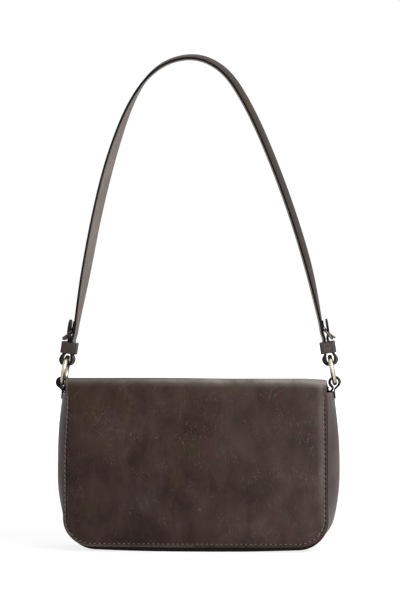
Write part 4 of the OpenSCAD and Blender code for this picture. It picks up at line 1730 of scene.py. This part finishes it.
@dataclass
class ShoulderStrap:
    """The flat strap: outer leather from tail to tail and the lining leather between the two legs."""

    finishes: Finishes
    rise: float = 237.5
    outer_t: float = 2.0
    inner_t: float = 1.2
    lining_past: int = 31
    spare_r: float = 1.2
    spare_u: float = 18.5
    slot_u: float = 23.9
    arch: tuple[tuple[float, float], ...] = (
        (-1, 0), (-0.916, 0.218), (-0.823, 0.432), (-0.719, 0.617), (-0.59, 0.786), (-0.463, 0.895),
        (-0.336, 0.956), (-0.206, 0.988), (-0.057, 1), (0.066, 0.99), (0.196, 0.956), (0.314, 0.895),
        (0.47, 0.765), (0.635, 0.585), (0.787, 0.388), (0.911, 0.192), (1, 0))
    twist_at: tuple[float, ...] = (0, 0.03, 0.08, 0.26, 0.34, 0.42, 0.55, 0.7, 0.92, 0.97, 1)
    twist: tuple[float, ...] = (0, -9, -19, -20, -9, 12, 19, 18, 17, 8, 0)
    drift: tuple[float, ...] = (0, 0, 1.5, 3, 2, 1, -1, -3, -1.5, 0, 0)

    def arch_line(self) -> Array:
        """The arch between the legs: a Catmull-Rom curve through the arch's shares of half span and rise.

        Returns:
            Points as x, z from the left leg to the right one.
        """
        top = ENDS.world(np.array([[ENDS.leg_n, ENDS.tail_len]]), Side.RIGHT)[0]
        knots = np.array(self.arch) * np.array([top[0], self.rise]) + np.array([0, top[1]])
        low = ENDS.world(np.array([[ENDS.leg_n, 0.0]]), Side.RIGHT)[0]
        p = np.concatenate([[low * np.array([-1, 1])], knots, [low]])
        t = np.linspace(0, 1, 13)[:-1][:, None]
        parts = [0.5 * (2 * b + (c - a) * t + (2 * a - 5 * b + 4 * c - d) * t * t
                        + (3 * b - a - 3 * c + d) * t ** 3) for a, b, c, d in zip(p, p[1:], p[2:], p[3:])]
        return relax(resample(np.concatenate([*parts, knots[-1:]]), 2.0), 12)

    def line(self) -> tuple[Array, Array]:
        """The whole middle line, from tail to tail.

        Returns:
            Points as x, z, and the place of each along the arch, 0 on the left end and 1 on the right one.
        """
        end, arch = ENDS.end_line(), self.arch_line()
        left, right = ENDS.world(end, Side.LEFT), ENDS.world(end, Side.RIGHT)[::-1]
        ends = relax(resample(left, 0.9), 3), relax(resample(right, 0.9), 3)
        whole = np.concatenate([ends[0], arch[1:-1], ends[1]])
        between = np.linspace(0, 1, len(arch))[1:-1]
        return whole, np.concatenate([np.zeros(len(ends[0])), between, np.ones(len(ends[1]))])

    def frames(self) -> tuple[Array, Array, Array, Array]:
        """The strap's middle line and the directions in which its section lies.

        The face direction is the tangent's left in the plane of the bag, turned about the tangent by the
        twist, which is zero at the buckles and by the crown. Its sign changes there with the tangent's, up on
        the left leg and down on the right one, so both legs turn the same way.

        Returns:
            Centres, face directions, across directions and places along the arch.
        """
        flat, place = self.line()
        at_end = (place <= 0) | (place >= 1)
        twist = running_mean(np.interp(place, self.twist_at, self.twist), 12)
        twist = running_mean(np.where(at_end, 0, twist), 5)
        drift = running_mean(np.interp(place, self.twist_at, self.drift), 12)
        centres = at_depth(flat, BAG.y_mid + np.where(at_end, 0, drift))
        along = tangents(centres)
        face = unit(np.stack([-along[:, 2], np.zeros(len(along)), along[:, 0]], 1))
        turn = np.radians(twist)[:, None]
        turned = np.cos(turn) * face + np.sin(turn) * np.cross(along, face)
        return centres, turned, unit(np.cross(turned, along)), place

    def build(self) -> None:
        """Builds the outer leather with its holes, and the lining leather."""
        centres, face, across, place = self.frames()
        far = lengths_along(centres)
        tip = np.minimum(far, far[-1] - far)
        widths = np.sqrt(np.clip(1 - (1 - np.clip(tip / 6.5, 0, 1)) ** 2.4, 0.02, 1))
        outer = sweep("strap_leather", centres, across, face, soft_oblong(ENDS.strap_w, self.outer_t, 0.55),
                      widths=widths, rim_from=0.97, settle=self.settle)
        cut_through(outer, self.cutters())
        dress(outer, self.finishes.strap, "strap", "strap_leather", "strap_outer")
        first, last = np.flatnonzero((place > 0) & (place < 1))[[0, -1]]
        pick = np.arange(first - self.lining_past, last + self.lining_past + 1)
        shift = -(self.outer_t + self.inner_t) / 2 - 0.02
        lining = sweep("strap_lining_leather", centres[pick] + shift * face[pick], across[pick], face[pick],
                       soft_oblong(ENDS.strap_w - 0.3, self.inner_t, 0.35), rim_from=0.97)
        cut_through(lining, self.cutters(lining=True))
        dress(lining, self.finishes.strap_back, "strap", "strap_lining", "strap_inner")

    def settle(self, points: Array) -> Array:
        """Turns the loops under the keepers to the front, growing from the keeper's lower edge downwards.

        Args:
            points: Points of the strap.

        Returns:
            The turned points.
        """
        for side in Side:
            x = side.value * ENDS.loop[0]
            near = np.abs(points[:, 0] - x) < 14
            share = smooth_step((ENDS.loop[1] + 4.6 - points[:, 2]) / 5) * near
            points = face_front(points, np.array([x, BAG.y_mid]), share, LOOP_TURN[side])
        return points

    def cutters(self, lining: bool = False) -> list[bpy.types.Object]:
        """Makes the bars that the holes are cut with.

        Args:
            lining: Whether they are for the lining, which has spare holes and no prong slots.

        Returns:
            A round bar a side for the spare hole, and a long one for the prong's slot in the tail.
        """
        spare = circle(self.spare_r, np.linspace(0, 2 * np.pi, 25)[:-1])
        slot = soft_oblong(2.3, 7.0, 1.14, 5)
        made = []
        for side in Side:
            made.append(self.bar_at(side, spare, self.spare_u, -7.0, -1.2))
            if not lining:
                made.append(self.bar_at(side, slot, self.slot_u, 0.4, 4.6))
        return made

    def bar_at(self, side: Side, outline: Array, u: float, n0: float, n1: float) -> bpy.types.Object:
        """A bar through the strap.

        Args:
            side: The side of the bag.
            outline: The bar's outline in depth and height.
            u: Height of its middle above the loop.
            n0: Where it starts, outwards from the loop.
            n1: Where it ends.

        Returns:
            The new object.
        """
        ends = []
        for n in (n0, n1):
            flat = ENDS.world(np.stack([np.full(len(outline), n), u + outline[:, 1]], 1), side)
            ends.append(at_depth(flat, BAG.y_mid + outline[:, 0]))
        points = np.concatenate(ends)
        m = len(outline)
        faces = [quads(2, m, wrap_cols=True), np.arange(m)[None, ::-1], (m + np.arange(m))[None]]
        return make_piece("hole_bar", points, outward(points, faces), smooth=False)


@dataclass
class Metalwork:
    """The metal and hidden CAD nodes, which keep their shape and get their finish."""

    finishes: Finishes

    def build(self) -> None:
        """Puts the brass, steel and board materials on the nodes that stay."""
        brass = ["ring_left", "ring_right", "snap_socket", "snap_stud"]
        dark = ["buckle_frame_left", "buckle_frame_right", "prong_left", "prong_right"]
        plain = ["socket_washer", "stud_washer"]
        chosen = {**dict.fromkeys(brass, self.finishes.brass), **dict.fromkeys(dark, self.finishes.bronze),
                  **dict.fromkeys(plain, self.finishes.steel), "base_board": self.finishes.board}
        for name, material in chosen.items():
            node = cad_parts[name]
            node.data.materials.clear()
            node.data.materials.append(material)
            LOG.info("%s keeps its CAD shape", name)


# Studio


@dataclass
class Studio:
    """Pale floor, soft light and the camera of the photograph's view."""

    distance: float = 1900.0
    yaw: float = 4.3
    eye_z: float = 223.95
    view_h: float = 539.1
    aim_x: float = 1.85

    def build(self) -> None:
        """Builds floor, world, lamps and camera."""
        self.build_floor()
        self.build_world()
        self.lamp("key_softbox", (0.72, -0.75, 0.7), 0.7, 10.0)
        self.lamp("top_softbox", (0.3, 0.1, 1.5), 1.2, 5.0)
        self.lamp("left_fill", (-1.5, -1.1, 0.7), 1.4, 0.9)
        self.build_camera()
        bpy.context.scene.view_settings.view_transform = "Standard"

    def lamp(self, name: str, place: tuple[float, float, float], size: float, power: float) -> None:
        """Adds a square softbox that faces the bag's middle, 0.16 m up.

        Args:
            name: The lamp's name.
            place: Its place in metres.
            size: Length of its sides.
            power: Its power in watts.
        """
        light = bpy.data.lights.new(name, "AREA")
        light.size, light.energy = size, power
        holder = bpy.data.objects.new(name, light)
        bpy.context.scene.collection.objects.link(holder)
        holder.location = place
        x, y, z = np.array(place) - np.array([0, 0, 0.16])
        lean = math.acos(z / float(np.linalg.norm([x, y, z])))
        holder.rotation_euler = (lean, 0, math.atan2(y, x) + math.pi / 2)

    def build_floor(self) -> None:
        """A wide pale floor that looks white to the camera and keeps the bag's shadow."""
        size = 9000.0
        points = np.array([[-size, -size, 0], [size, -size, 0], [size, size, 0], [-size, size, 0]], float)
        floor = make_piece("studio_floor", points, [np.array([[0, 1, 2, 3]])], smooth=False)
        material = bpy.data.materials.new("floor_white")
        material.use_nodes = True
        s = Sheet(material.node_tree)
        out = material.node_tree.nodes["Material Output"]
        shader = material.node_tree.nodes["Principled BSDF"]
        shader.inputs["Base Color"].default_value = (0.86, 0.86, 0.86, 1)
        shader.inputs["Roughness"].default_value = 0.9
        glow = s.add("ShaderNodeEmission", {"Color": (1, 1, 1, 1), "Strength": 1.35}).outputs[0]
        seen = s.add("ShaderNodeLightPath").outputs["Is Camera Ray"]
        place = s.add("ShaderNodeTexCoord").outputs["Object"]
        away = s.add("ShaderNodeVectorMath", {0: place}, operation="LENGTH").outputs["Value"]
        share = s.maths("MULTIPLY", seen, s.span(away, 0.3, 0.9, 0.6, 1.0))
        both = s.add("ShaderNodeMixShader", {0: share, 1: shader.outputs[0], 2: glow}).outputs[0]
        s.tree.links.new(both, out.inputs["Surface"])
        floor.data.materials.append(material)

    def build_world(self) -> None:
        """Even white surroundings, at full white to the camera and in reflections."""
        world = bpy.data.worlds.new("studio_white")
        bpy.context.scene.world = world
        world.use_nodes = True
        s = Sheet(world.node_tree)
        path = s.add("ShaderNodeLightPath").outputs
        seen = s.maths("MAXIMUM", path["Is Camera Ray"], path["Is Transmission Ray"])
        seen = s.maths("MAXIMUM", seen, s.maths("MULTIPLY", path["Is Glossy Ray"], 0.5))
        strength = s.maths("ADD", s.maths("MULTIPLY", seen, 0.68), 0.32)
        world.node_tree.nodes["Background"].inputs["Color"].default_value = (1, 1, 1, 1)
        s.tree.links.new(strength, world.node_tree.nodes["Background"].inputs["Strength"])

    def build_camera(self) -> None:
        """A long lens level with the middle of the frame, a little to the right of straight on."""
        camera = bpy.data.cameras.new("view")
        camera.sensor_fit, camera.sensor_height = "VERTICAL", 36.0
        camera.lens = 36.0 * self.distance / self.view_h
        holder = bpy.data.objects.new("view", camera)
        bpy.context.scene.collection.objects.link(holder)
        a = math.radians(self.yaw)
        holder.location = ((self.aim_x + self.distance * math.sin(a)) * MM,
                           (BAG.y_mid - self.distance * math.cos(a)) * MM, self.eye_z * MM)
        holder.rotation_euler = (math.pi / 2, math.radians(0.2), a)
        camera.clip_end = 50.0
        bpy.context.scene.camera = holder


def main() -> None:
    """Builds every sub-assembly in order."""
    logging.basicConfig(level=logging.INFO, format="%(name)s: %(message)s")
    finishes = Finishes()
    Studio().build()
    Metalwork(finishes).build()
    BagBody(finishes).build()
    SewnLining(finishes).build()
    for side in Side:
        RingTab(finishes, side).build()
        BarWrap(finishes, side).build()
        Keeper(finishes, side).build()
    ShoulderStrap(finishes).build()


if __name__ == "__main__":
    main()
